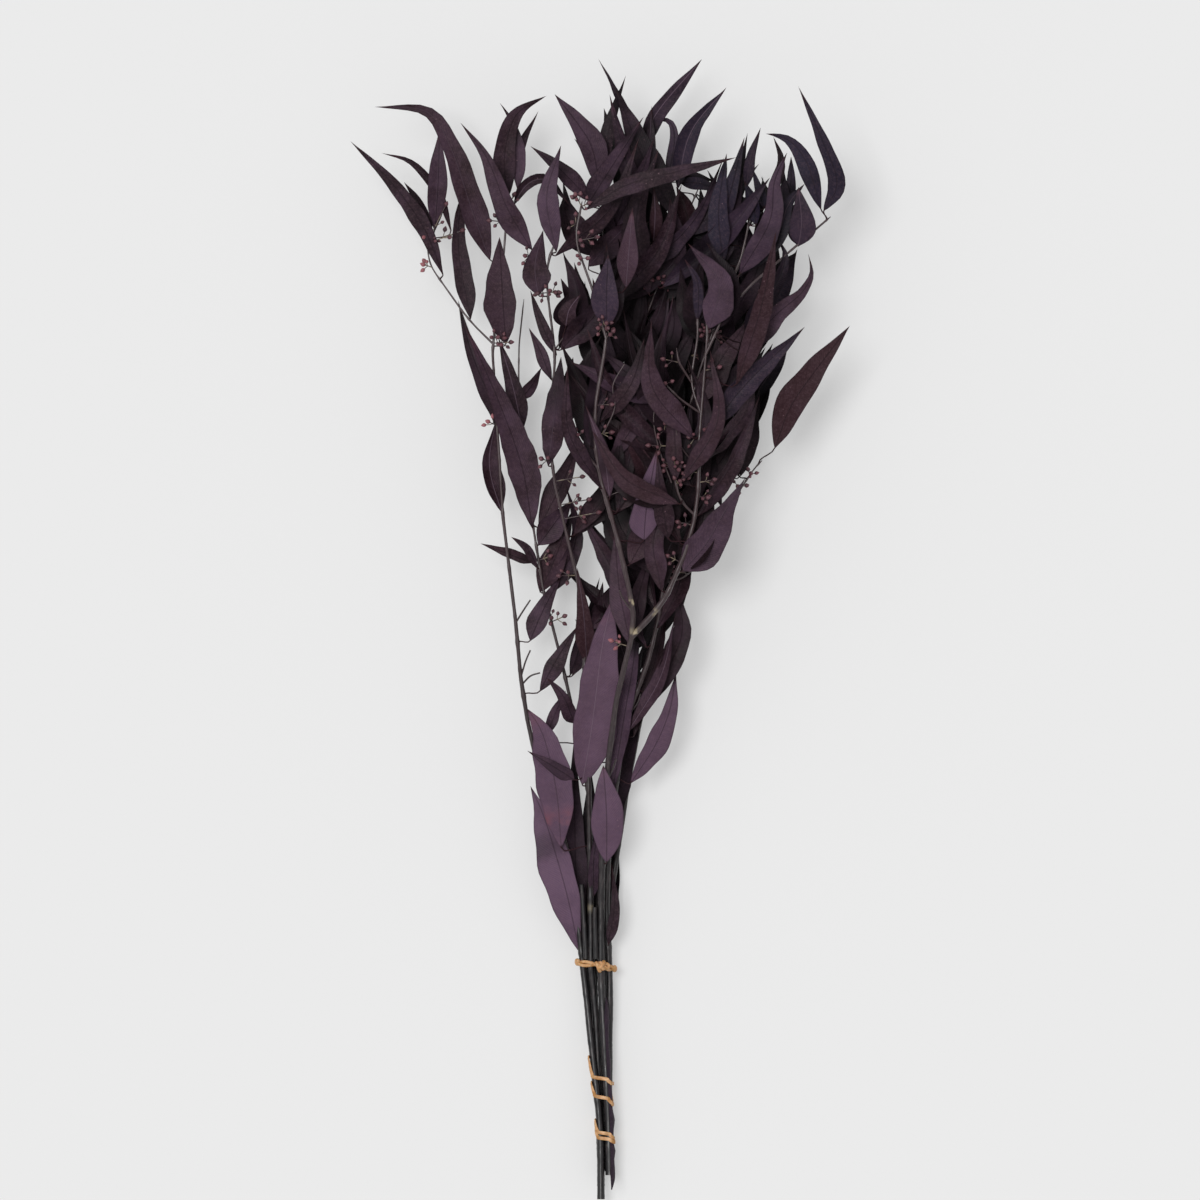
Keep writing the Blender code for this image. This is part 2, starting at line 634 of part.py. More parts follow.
def fill_routes(woods, spacing, lowest, highest, rng):
    """Leaves in turn on either side of the wood, from its lower end to its tip."""
    routes = []
    for wood in woods:
        total = lengths(wood.line)[-1]
        side = rng.choice((-1, 1))
        along = spacing * rng.uniform(0.3, 1.0)
        while along < total:
            start, ahead = resample(wood.line, [along / total, min(1.0, (along + 4) / total)])
            along += spacing * rng.uniform(0.75, 1.25)
            side = -side
            length = rng.uniform(*FILL_LENGTH)
            width = rng.uniform(*FILL_WIDTH)
            spread = math.radians(side * rng.uniform(*FILL_SPREAD))
            bend = math.radians(rng.uniform(-FILL_BEND, FILL_BEND))
            rise = rng.uniform(-FILL_RISE, FILL_RISE)
            roll = rng.uniform(-FILL_ROLL, FILL_ROLL)
            if start.y < lowest or (ahead - start).length < 1e-3:
                continue
            heading = math.atan2(ahead.y - start.y, ahead.x - start.x)
            heading = math.radians(90) + 0.6 * (heading - math.radians(90)) + spread
            first = start.xy + PETIOLE_REACH * Vector((math.cos(heading), math.sin(heading)))
            middle = first + length / 2 * Vector((math.cos(heading), math.sin(heading)))
            turned = heading + bend - 0.5 * spread
            last = middle + length / 2 * Vector((math.cos(turned), math.sin(turned)))
            if inside(*middle) and inside(*last) and last.y < highest:
                routes.append((width, rise, [tuple(first), tuple(middle), tuple(last)], roll))
    return routes


def bud_places(woods, groups, lowest, rng):
    """Groups of three buds spread over the upper wood of a stem."""
    seats = [point for wood in woods for point in wood.line[2:-1] if point.y > lowest + 60]
    places = []
    for group in range(groups):
        seat = seats[int(len(seats) * (group + rng.uniform(0.2, 0.8)) / groups)]
        for turn in BUD_GROUP:
            angle = math.radians(90 + turn + rng.uniform(-15, 15))
            reach = rng.uniform(*BUD_REACH)
            places.append((seat.x + reach * math.cos(angle), seat.y + reach * math.sin(angle)))
    return places


def grow(bunch, woods):
    """Place every leaf and bud of the bunch."""
    by_node = {node: [wood for wood in woods if wood.node == node] for node in STEMS}
    for node, (width, midrib) in RESTING_LEAVES.items():
        root = nearest(by_node[node], Vector(midrib[0]), Vector((0, 1)))
        line = smooth(midrib, 6)
        bunch.grown.append(Solid(node, rest_on_table(leaf_mesh(root, line, width, 0))))
    rng = random.Random(SEED)
    for node, leaves in LEAVES.items():
        for width, rise, route in leaves:
            roll = rng.uniform(-LEAF_ROLL, LEAF_ROLL)
            place_leaf(bunch, by_node[node], node, width, rise, route, roll)
    for node, buds in BUDS.items():
        for place in buds:
            place_bud(bunch, by_node[node], node, place, rng)
    for node, (spacing, lowest, highest, groups) in FILL.items():
        for width, rise, route, roll in fill_routes(by_node[node], spacing, lowest, highest, rng):
            place_leaf(bunch, by_node[node], node, width, rise, route, roll)
        for place in bud_places(by_node[node], groups, lowest, rng):
            place_bud(bunch, by_node[node], node, place, rng)


def bundle_at(woods, y):
    """Centre (x, z) and radius of each stem where it passes y."""
    circles = []
    for wood in woods:
        for a, b, radius in zip(wood.line, wood.line[1:], wood.radii):
            if a.y <= y < b.y:
                point = a.lerp(b, (y - a.y) / (b.y - a.y))
                circles.append((point.x, point.z, radius))
                break
    return circles


def around(woods, y_at, lift_at, turns, thickness):
    """Closed line that hugs the bundle, with a y and an extra lift for each angle."""
    points, outs = [], []
    count = BAND_POINTS * turns
    for k in range(count):
        angle = 2 * math.pi * turns * k / count
        x, z = math.cos(angle), math.sin(angle)
        y = y_at(angle)
        circles = bundle_at(woods, y)
        cx, cz, radius = max(circles, key=lambda c: c[0] * x + c[1] * z + c[2])
        reach = radius + BAND_GAP + thickness / 2 + lift_at(angle)
        points.append(Vector((cx + reach * x, y, cz + reach * z)))
        outs.append(Vector((x, 0, z)))
    return points, outs


def loop_mesh(points, outs, width, thickness, twist=0.0):
    """Closed ring of rectangular section along a closed line."""
    rings = []
    count = len(points)
    for k in range(count):
        tangent = (points[(k + 1) % count] - points[k - 1]).normalized()
        spin = Matrix.Rotation(twist * 2 * math.pi * k / count, 3, tangent)
        side = spin @ outs[k].cross(tangent).normalized()
        out = side.cross(tangent).normalized()
        if out.dot(spin @ outs[k]) < 0:
            out = -out
        wide, thick = side * width / 2, out * thickness / 2
        rings.append([points[k] - wide - thick, points[k] - wide + thick,
                      points[k] + wide + thick, points[k] + wide - thick])
    return skin(rings, closed=True)


def crossing_lift(angle, crossing):
    """Lift of one turn of a doubled band over the other, near the angle where they cross."""
    away = abs((angle - crossing + 2 * math.pi) % (4 * math.pi) - 2 * math.pi)
    part = (CROSSING_HALF + CROSSING_FADE - math.degrees(away)) / CROSSING_FADE
    return (BAND_THICKNESS + CROSSING_GAP) * min(1.0, max(0.0, part))


def doubled_band(woods, y_middle, apart, slant, crossing):
    """Rubber band wound twice: its two turns cross once, at the crossing angle."""
    def y_at(angle):
        return y_middle + apart * math.cos((angle - crossing) / 2 + math.pi / 2) + slant * math.cos(angle)

    return around(woods, y_at, lambda angle: crossing_lift(angle, crossing), 2, BAND_THICKNESS)


def knot_mesh(centre):
    """Lump of the knot that closes the twisted band."""
    wide, high, deep = KNOT_SIZE
    rings = []
    for along, part in KNOT_PROFILE:
        turns = [2 * math.pi * k / KNOT_SIDES for k in range(KNOT_SIDES)]
        rings.append([centre + Vector((wide * along, high * part * math.cos(a), deep * part * math.sin(a)))
                      for a in turns])
    return skin(rings)


def bands(woods):
    """Name and meshes of each rubber band."""
    lower = doubled_band(woods, LOWER_BAND_Y, apart=3.1, slant=-1.6, crossing=math.radians(90))
    spiral = doubled_band(woods, SPIRAL_BAND_Y, apart=7.5, slant=-5.5, crossing=0.0)
    width, thickness = TWISTED_SECTION
    upper, outs = around(woods, lambda angle: UPPER_BAND_Y + UPPER_BAND_SLANT * math.cos(angle),
                         lambda angle: TWISTED_LIFT, 1, thickness)
    knot = max(upper, key=lambda point: point.x + 0.8 * point.z)
    return {
        "band_lower": [rest_on_table(loop_mesh(*lower, BAND_WIDTH, BAND_THICKNESS))],
        "band_spiral": [rest_on_table(loop_mesh(*spiral, BAND_WIDTH, BAND_THICKNESS))],
        "band_upper": [loop_mesh(upper, outs, width, thickness, TWISTS), knot_mesh(knot + KNOT_OFFSET)],
    }


def plain_material(name, colour, roughness):
    """Principled material of one colour."""
    material = bpy.data.materials.new(name)
    material.use_nodes = True
    shader = material.node_tree.nodes["Principled BSDF"]
    shader.inputs["Base Color"].default_value = (*colour, 1)
    shader.inputs["Roughness"].default_value = roughness
    return material


def add_object(name, mesh, collection):
    """Object with its mesh in metres."""
    verts, faces = mesh
    data = bpy.data.meshes.new(name)
    data.from_pydata([tuple(vert * MM) for vert in verts], [], faces)
    obj = bpy.data.objects.new(name, data)
    collection.objects.link(obj)
    return obj


def join(name, meshes):
    """One closed body from meshes that overlap."""
    scene = bpy.context.scene.collection
    body = add_object(name, meshes[0], scene)
    if len(meshes) == 1:
        return body
    repeats = bpy.data.collections.new(name + "_repeats")
    scene.children.link(repeats)
    for mesh in meshes[1:]:
        add_object(name + "_repeat", mesh, repeats)
    union = body.modifiers.new("Join", "BOOLEAN")
    union.operation = "UNION"
    union.operand_type = "COLLECTION"
    union.collection = repeats
    union.solver = "MANIFOLD"
    depsgraph = bpy.context.evaluated_depsgraph_get()
    joined = bpy.data.meshes.new_from_object(body.evaluated_get(depsgraph))
    body.modifiers.remove(union)
    body.data = joined
    for obj in list(repeats.objects):
        bpy.data.objects.remove(obj)
    bpy.data.collections.remove(repeats)
    tidy(joined)
    return body


def connected(verts):
    """Groups of vertices that edges connect."""
    groups = []
    left = dict.fromkeys(verts)
    while left:
        stack = [left.popitem()[0]]
        group = list(stack)
        while stack:
            for edge in stack.pop().link_edges:
                for vert in edge.verts:
                    if vert in left:
                        del left[vert]
                        stack.append(vert)
                        group.append(vert)
        groups.append(group)
    return groups


def merge_short_edges(work):
    """Pull each very short edge into one point where the surface stays closed."""
    edges = [edge for edge in work.edges if edge.calc_length() < SHORT_EDGE]
    while edges:
        for edge in edges:
            if not edge.is_valid:
                continue
            a, b = edge.verts
            beside = [{link.other_vert(vert) for link in vert.link_edges} for vert in (a, b)]
            if len(beside[0] & beside[1]) == 2:
                bmesh.ops.pointmerge(work, verts=[a, b], merge_co=a.co.copy())
        left = [edge for edge in work.edges if edge.calc_length() < SHORT_EDGE]
        edges = left if len(left) < len(edges) else []


def sound(work):
    """True where each edge joins two faces and no two points coincide."""
    places = {tuple(round(value * 1e7) for value in vert.co) for vert in work.verts}
    return len(places) == len(work.verts) and all(edge.is_manifold for edge in work.edges)


def tidy(mesh):
    """Fewer triangles where the surface is flat, without sealed hollows and loose scraps."""
    for angle in FLAT_ANGLES:
        work = bmesh.new()
        work.from_mesh(mesh)
        bmesh.ops.triangulate(work, faces=work.faces[:])
        merge_short_edges(work)
        bmesh.ops.dissolve_limit(work, angle_limit=math.radians(angle), verts=work.verts[:],
                                 edges=work.edges[:])
        bmesh.ops.triangulate(work, faces=work.faces[:])
        for scrap in sorted(connected(work.verts), key=len)[:-1]:
            bmesh.ops.delete(work, geom=scrap, context="VERTS")
        if sound(work):
            break
    work.to_mesh(mesh)


def main():
    """Build the bunch."""
    for obj in list(bpy.data.objects):
        bpy.data.objects.remove(obj)
    woods = []
    for node, (radii, points) in STEMS.items():
        woods.append(Wood(node, points, radii))
        for radius, route in TWIGS[node]:
            woods.append(Wood(node, route, (radius, min(radius, TWIG_TIP_RADIUS))))
    settle(woods)
    reseat(woods)
    bunch = Bunch()
    bunch.wood = [Solid(wood.node, wood_mesh(wood)) for wood in woods]
    grow(bunch, woods)
    solids = bunch.wood + bunch.grown
    for node, colour in LEAF_COLOURS.items():
        body = join(node, [(solid.verts, solid.faces) for solid in solids if solid.node == node])
        body.data.materials.append(plain_material(node + "_leaves", colour, 0.5))
    rubber = plain_material("tan_rubber", BAND_COLOUR, 0.45)
    for name, meshes in bands(woods).items():
        join(name, meshes).data.materials.append(rubber)


if __name__ == "__main__":
    main()
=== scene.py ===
"""Dresses a packed bunch of preserved, plum-dyed seeded eucalyptus that lies on a table.

The layout follows the same rules as the solids, in millimetres, and the pieces are in metres.
Each stem's solid is replaced by fine leaves, wood and flower buds, and each band by a rubber one.
"""

import functools
import math
import random
from types import SimpleNamespace

import bpy
import numpy as np
from bpy.props import FloatProperty, FloatVectorProperty, IntProperty, PointerProperty
from bpy.types import Operator, Panel, PropertyGroup
from mathutils import Color, Matrix, Vector
from mathutils.bvhtree import BVHTree


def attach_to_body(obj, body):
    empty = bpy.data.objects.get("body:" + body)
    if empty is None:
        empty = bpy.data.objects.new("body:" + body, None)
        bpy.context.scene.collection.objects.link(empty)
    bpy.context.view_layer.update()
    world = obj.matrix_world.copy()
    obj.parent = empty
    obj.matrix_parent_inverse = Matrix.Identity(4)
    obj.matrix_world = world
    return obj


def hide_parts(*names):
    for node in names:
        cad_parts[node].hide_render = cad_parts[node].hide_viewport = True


bl_info = {
    "name": "Preserved Eucalyptus Bunch",
    "version": (1, 0, 0),
    "blender": (4, 5, 0),
    "location": "3D View > Sidebar > Eucalyptus",
    "description": "Leaves, wood, buds and bands of a tied bunch of preserved eucalyptus",
    "category": "Object",
}

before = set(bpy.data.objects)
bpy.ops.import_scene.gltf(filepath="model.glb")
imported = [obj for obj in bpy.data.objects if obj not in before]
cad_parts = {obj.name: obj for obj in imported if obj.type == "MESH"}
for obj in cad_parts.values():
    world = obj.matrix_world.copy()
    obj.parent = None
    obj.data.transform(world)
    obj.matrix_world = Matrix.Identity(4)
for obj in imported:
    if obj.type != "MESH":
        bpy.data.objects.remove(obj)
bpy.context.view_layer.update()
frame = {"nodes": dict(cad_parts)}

MM = 0.001
SEED = 41

# Leaves and buds, with shares of a length or width, and tilts in degrees
BLADE_THICKNESS = 1.0
KEEL_SHARE = 2 / 3
WIDEST_AT = 0.38
BLADE_STEPS = ((75, 5), (40, 4), (0, 3))
PETIOLE_RADIUS = 0.55
MIDRIB_ARCH = 3.0
LOWEST_MIDRIB = 1.6
LEAF_ROLL = 22
STALK_RADIUS = 0.45
BUD_RADIUS = 1.6
BUD_LENGTH = 4.4
BUD_BELOW = 0.4
BUD_RISE = (1.5, 5.0)
CLEARANCE = 0.35

# Wood
STEM_SIDES = 5
TWIG_SIDES = 4
STEM_LEAST_RADIUS = 1.2
TWIG_TIP_RADIUS = 0.6
SAMPLE_SPACING = 5.0
SEAT_SPACING = 3.0
SLACK = 0.5
FLOOR_GAP = 0.4

# Rubber bands: gap between the stems and the twisted band, points in one turn
BAND_GAP = 0.45
BAND_POINTS = 20

# Centre lines of the stems, from the cut end to the tip: (radius at the cut, at the tip), points
STEMS = {
    "stem_left": ((2.3, 0.9), [
        (0.6, -353, 15), (0.3, -314, 15), (-2.6, -280, 15), (-7, -242, 14), (-10.5, -209, 12.5),
        (-18, -149, 17), (-27, -115, 21), (-37, -89, 25), (-43, -66, 28), (-49, -30, 34), (-52, 4, 38),
        (-60, 70, 43), (-65, 151, 48), (-66, 176, 50), (-60, 223, 49), (-57, 263, 47),
    ]),
    "stem_middle": ((2.4, 0.9), [
        (0.6, -345, 9.7), (0.3, -314, 9.7), (-0.4, -280, 9.9), (-2.4, -242, 12), (-5.5, -209, 15.5),
        (-6, -149, 21), (-7, -91, 29), (-8, -56, 34), (-12, 18, 43), (-21, 60, 48), (-30, 104, 53),
        (-29, 151, 57), (-28, 172, 58), (-33, 219, 60), (-26, 242, 60),
    ]),
    "stem_front": ((2.7, 1.0), [
        (5.9, -338, 15.2), (5.7, -314, 15.2), (4, -280, 15.6), (2, -242, 17), (0.5, -209, 17.5),
        (1, -149, 25), (4, -94, 38), (7, -66, 46), (11, -39, 53), (20, -1, 64), (19, 19, 69),
        (9, 63, 77), (-1, 99, 82), (-3, 134, 86), (3, 172, 88), (4, 182, 88),
    ]),
    "stem_right": ((2.4, 0.9), [
        (5.9, -335, 9.7), (5.7, -314, 9.7), (5.4, -280, 9.9), (5.6, -242, 11.2), (6, -209, 12.5),
        (4, -159, 17), (9, -103, 26), (18, -52, 36), (30, -19, 43), (39, 24, 50), (44, 77, 56),
        (55, 136, 60), (71, 188, 63), (87, 229, 64), (94, 266, 62),
    ]),
    "stem_back": ((2.2, 0.9), [
        (0.6, -340, 3.9), (0.3, -314, 3.9), (-1, -280, 4.4), (-2.5, -242, 5.6), (-3.4, -209, 6.5),
        (1, -149, 10), (11, -87, 14), (21, -19, 20), (28, 55, 26), (28, 130, 31), (25, 204, 37),
        (31, 272, 42),
    ]),
    "stem_back_right": ((2.2, 0.9), [
        (5.9, -333, 3.9), (5.7, -314, 3.9), (4.6, -280, 4.4), (3.4, -242, 5.6), (2.6, -209, 6.5),
        (9, -149, 9), (19, -87, 13), (34, -16, 17), (55, 52, 21), (76, 120, 25), (94, 188, 29),
        (109, 247, 35), (115, 269, 37),
    ]),
}

# Side twigs: radius at the root, points from inside the stem or twig that carries them
TWIGS = {
    "stem_left": [
        (0.9, [(-66, 175, 50), (-81, 191, 49), (-99, 216, 47), (-105, 226, 46), (-107, 241, 45)]),
    ],
    "stem_middle": [
        (1.5, [(-6.5, -106, 27), (-12, -72, 27), (-24, -19, 31), (-36, 29, 35), (-45, 92, 37),
               (-50, 148, 36), (-50, 176, 36), (-47, 204, 37)]),
        (0.7, [(-33, 219, 60), (-37, 225, 61), (-45, 231, 61)]),
        (0.7, [(-28, 172, 58), (-24, 177, 57), (-21, 182, 56)]),
    ],
    "stem_front": [
        (1.9, [(20, -3, 63), (32, 9, 68), (42, 23, 71), (54, 52, 76), (60, 80, 79), (61, 117, 81),
               (65, 169, 83), (66, 185, 83), (64, 201, 82)]),
        (0.9, [(65, 172, 83), (77, 195, 80), (83, 203, 79), (85, 218, 78)]),
        (0.8, [(77, 195, 80), (94, 213, 78), (113, 229, 74), (131, 245, 70), (142, 254, 68)]),
        (0.7, [(61, 130, 81), (48, 141, 85), (39, 152, 86)]),
        (0.8, [(60, 134, 81), (56, 152, 78), (60, 179, 77), (60, 206, 75)]),
        (0.7, [(56, 151, 78), (48, 164, 82), (47, 173, 83)]),
        (0.7, [(-1, 97, 81.5), (-11, 110, 84), (-14, 117, 84)]),
        (0.8, [(58, 69, 78), (48, 82, 81), (43, 117, 83), (32, 154, 85), (25, 172, 85)]),
        (0.8, [(4, 176, 87), (-5, 210, 86), (-14, 235, 84), (-14, 250, 83), (-11, 263, 82)]),
    ],
    "stem_right": [
        (1.0, [(40, 27, 50.5), (56, 35, 50), (77, 71, 51), (95, 99, 53), (100, 104, 53)]),
    ],
    "stem_back": [
        (0.9, [(28, 123, 30.5), (9, 173, 35), (2, 235, 42), (3, 260, 44)]),
        (0.9, [(25, 185, 35.5), (45, 235, 43), (62, 275, 46)]),
    ],
    "stem_back_right": [
        (0.9, [(71, 105, 24), (56, 154, 30), (53, 185, 33), (56, 216, 36)]),
        (0.8, [(90, 172, 28), (102, 185, 29), (115, 204, 31)]),
    ],
}

# Leaves that stand out: width, rise from base to tip, points of the midrib from base to tip
LEAVES = {
    "stem_left": [
        (9, 6, [(-97, 219), (-109, 248), (-129, 276), (-154, 301)]),
        (7, -2, [(-105, 244), (-111, 262), (-121, 276)]),
        (5, -6, [(-92, 246), (-99, 268), (-116, 288), (-135, 294)]),
        (11, 2, [(-102, 246), (-100, 275), (-99, 308)]),
        (10, -8, [(-80, 192), (-87, 228), (-87, 257), (-78, 283)]),
        (14, 8, [(-68, 228), (-79, 259), (-92, 297), (-107, 319), (-139, 322)]),
        (12, 4, [(-57, 266), (-59, 291), (-52, 317), (-33, 329)]),
        (7, -4, [(-51, 272), (-50, 297), (-55, 314), (-62, 325)]),
        (6, -8, [(-56, 275), (-49, 298), (-38, 320)]),
        (17, -7, [(-58, 176), (-60, 204), (-62, 242)]),
        (6, -3, [(-53, 262), (-45, 274), (-33, 277), (-19, 262)]),
        (12, -6, [(-61, 73), (-68, 102), (-64, 130)]),
        (17, 11, [(-13, -199), (-21, -162), (-34, -118), (-43, -97)]),
        (12, -6, [(-43, -7), (-35, 12), (-24, 33)]),
        (11, -4, [(-37, -38), (-27, -19), (-14, 2)]),
    ],
    "stem_middle": [
        (13, 9, [(-42, 234), (-57, 259), (-70, 291), (-86, 312)]),
        (11, -3, [(-48, 123), (-54, 151), (-63, 181)]),
        (6, -4, [(-42, 41), (-58, 47), (-74, 53)]),
        (5, 4, [(-39, 38), (-45, 50), (-55, 57)]),
        (17, 14, [(-42, 63), (-48, 99), (-62, 139), (-84, 189)]),
        (9, 10, [(-16, -93), (-30, -84), (-45, -75)]),
        (9, 4, [(-4, -165), (-4, -142), (0, -115)]),
        (25, 26, [(-11, -96), (-5, -60), (1, -13), (8, 20)]),
        (9, 10, [(-16, -58), (-23, -41), (-33, -30)]),
        (12, 8, [(-8, -21), (-10, 9), (-14, 38)]),
        (16, -6, [(-37, 23), (-27, 46), (-17, 73)]),
        (7, -4, [(-33, -66), (-27, -50), (-21, -38)]),
        (14, -4, [(-38, 52), (-29, 64), (-17, 80)]),
        (14, 9, [(-32, 101), (-29, 126), (-24, 168)]),
        (12, 8, [(-22, 130), (-12, 157), (1, 181)]),
        (7, -5, [(-30, 154), (-37, 172), (-44, 186)]),
        (7, -8, [(-49, 142), (-42, 151), (-36, 162)]),
        (6, -4, [(-27, 169), (-36, 188), (-43, 209)]),
        (15, -5, [(-38, 206), (-40, 224), (-35, 246)]),
        (11, 3, [(-21, 187), (-19, 197), (-12, 206)]),
        (12, 8, [(-27, 233), (-33, 266), (-24, 298)]),
        (20, 10, [(-24, -135), (-27, -100), (-35, -66), (-45, -49)]),
    ],
    "stem_front": [
        (19, 8, [(4, -144), (4, -115), (2, -84)]),
        (12, -9, [(19, -10), (12, 24), (9, 61)]),
        (21, 4, [(51, 36), (65, 52), (76, 71), (90, 94)]),
        (12, 12, [(27, 55), (29, 77), (35, 111)]),
        (11, 9, [(42, 56), (38, 77), (35, 108)]),
        (8, 6, [(6, 81), (2, 108), (-9, 138)]),
        (8, -6, [(11, 73), (19, 111), (19, 138)]),
        (9, -5, [(47, 92), (46, 117), (42, 145)]),
        (14, -6, [(60, 139), (73, 164), (91, 190)]),
        (12, 2, [(67, 122), (90, 151), (126, 186)]),
        (15, 8, [(4, 185), (4, 206), (5, 230)]),
        (10, 9, [(138, 258), (146, 275), (136, 303), (122, 334)]),
        (10, 3, [(136, 259), (127, 288), (115, 302), (102, 305)]),
        (14, 9, [(122, 236), (124, 250), (122, 272)]),
        (13, 12, [(86, 219), (104, 250), (107, 275), (115, 293)]),
        (16, 10, [(67, 185), (73, 213), (54, 237)]),
        (6, -4, [(60, 190), (60, 213), (52, 228)]),
        (11, 8, [(16, 210), (18, 235), (20, 259)]),
        (12, 12, [(84, 151), (99, 198), (108, 244)]),
        (12, -3, [(90, 172), (108, 193), (124, 207), (130, 219), (128, 231)]),
        (10, 6, [(-9, 258), (16, 273), (46, 281), (84, 290)]),
    ],
    "stem_right": [
        (7, -4, [(5, -195), (9, -171), (7, -144)]),
        (12, -8, [(8, -100), (14, -60), (21, -19), (25, 18)]),
        (11, -6, [(21, -66), (31, -32), (38, -1), (42, 37)]),
        (14, 4, [(36, -42), (45, -19), (51, -1), (48, 25)]),
        (14, 8, [(19, -95), (34, -72), (43, -50), (47, -27)]),
        (16, 3, [(108, 112), (117, 136), (131, 157), (154, 187)]),
        (12, 6, [(76, 226), (73, 257), (78, 293)]),
        (6, 3, [(90, 272), (93, 291), (99, 309)]),
        (8, -4, [(96, 249), (94, 263), (89, 276)]),
        (6, -2, [(101, 260), (97, 273), (93, 286)]),
        (9, 12, [(72, 240), (80, 268), (89, 303)]),
    ],
    "stem_back": [
        (10, 6, [(-6, 264), (-24, 283), (-43, 298)]),
        (11, 14, [(-7, 263), (9, 288), (27, 316)]),
        (14, 8, [(0, 272), (-5, 297), (-14, 312), (-28, 330)]),
        (4, -3, [(-2, 281), (-8, 293), (-16, 303)]),
        (7, 4, [(25, 278), (19, 309), (9, 333), (-1, 352)]),
        (8, -4, [(2, 283), (6, 309), (16, 342)]),
        (12, 8, [(24, 247), (29, 278), (32, 323)]),
        (9, 2, [(25, 291), (34, 317), (63, 352)]),
        (11, 8, [(48, 272), (56, 306), (78, 334)]),
        (6, -3, [(42, 278), (46, 303), (42, 314), (31, 314)]),
        (7, 12, [(76, 260), (86, 281), (91, 306)]),
        (12, -6, [(63, 228), (64, 250), (62, 273)]),
        (11, -2, [(56, 244), (52, 260), (47, 273)]),
        (14, 14, [(43, 218), (46, 241), (43, 266)]),
        (7, 6, [(33, 239), (34, 257), (33, 273)]),
        (10, 10, [(-7, 242), (2, 254), (17, 272)]),
        (14, 4, [(-7, 224), (6, 238), (25, 257)]),
        (7, 9, [(49, 276), (62, 275), (76, 269)]),
        (11, 4, [(7, 123), (20, 164), (31, 204)]),
        (12, 8, [(30, 172), (37, 188), (43, 205)]),
        (10, -3, [(0, -81), (2, -44), (11, -7)]),
    ],
    "stem_back_right": [
        (12, 6, [(96, 145), (107, 161), (117, 179)]),
        (15, 2, [(87, 95), (90, 120), (99, 151)]),
        (9, 6, [(67, 95), (76, 114), (85, 133)]),
        (6, 6, [(105, 266), (112, 288), (107, 304)]),
        (12, 3, [(104, 193), (113, 213), (122, 235)]),
        (10, 4, [(108, 246), (113, 262), (114, 282)]),
        (12, 6, [(96, 205), (103, 228), (112, 246)]),
        (6, 2, [(116, 258), (118, 276), (118, 292)]),
    ],
}

# The two low leaves that the head rests on: width and full midrib points
RESTING_LEAVES = {
    "stem_middle": (14, [
        (-46, 106, 36), (-58, 128, 22), (-72, 152, 6), (-82, 178, 0.3), (-88, 204, 0.3),
    ]),
    "stem_back_right": (14, [
        (90, 168, 26), (97, 184, 14), (104, 204, 2), (108, 226, 0.3), (111, 250, 0.3),
    ]),
}

# Flower buds, each at the end of a stalk from the nearest wood
BUDS = {
    "stem_left": [(-108, 246), (-103, 241), (-109, 225), (-95, 262), (-85, 246), (-68, 252),
                  (-53, 268), (-63, 180), (-55, 177), (-69, 128)],
    "stem_middle": [(-46, 230), (-36, 105), (-11, 94), (-7, 80), (-1, 72), (-31, 45), (-25, 33),
                    (-30, 7), (-22, 8)],
    "stem_front": [(7, -7), (-15, 267), (-7, 262), (-17, 250), (-12, 239), (-2, 241), (-12, 228),
                   (-1, 185), (4, 188), (8, 183), (-15, 122), (7, 138), (7, 121), (22, 88), (30, 113),
                   (39, 166), (40, 151), (42, 136), (37, 123), (66, 123), (55, 118), (73, 161),
                   (49, 91), (54, 97), (70, 92), (66, 81), (48, 66), (42, 45)],
    "stem_right": [(85, 88), (93, 96)],
}

# Leaves and buds set by rule along the wood of a stem: spacing of leaves, range of y, groups of buds
FILL = {
    "stem_middle": (27, -60, 340, 1),
    "stem_front": (16, 10, 195, 1),
    "stem_right": (11, -70, 235, 3),
    "stem_back": (9, -60, 340, 3),
    "stem_back_right": (10, -40, 340, 3),
}
FILL_LENGTH = (52, 96)
FILL_WIDTH = (9, 16)
FILL_SPREAD = (16, 48)
FILL_BEND = 22
FILL_RISE = 14
FILL_ROLL = 32
PETIOLE_REACH = 6
BUD_GROUP = (-50, 0, 50)
BUD_REACH = (6, 9)

# Outline that these leaves stay in: y, lowest x, highest x
OUTLINE = [(-230, -7, 6), (-106, -25, 18), (-44, -32, 42), (49, -37, 62), (111, -24, 88),
           (173, -26, 112), (235, -30, 126), (266, -26, 138), (287, -24, 130), (299, -18, 66),
           (334, 5, 44)]

# Ways in which a leaf or bud moves to get clear of the others: lift in mm, roll in degrees
LIFTS = (0, 5, -5, 10, -10, 15, -15, 21, -21, 28, -28, 35)
ROLLS = (0, 16, -16)

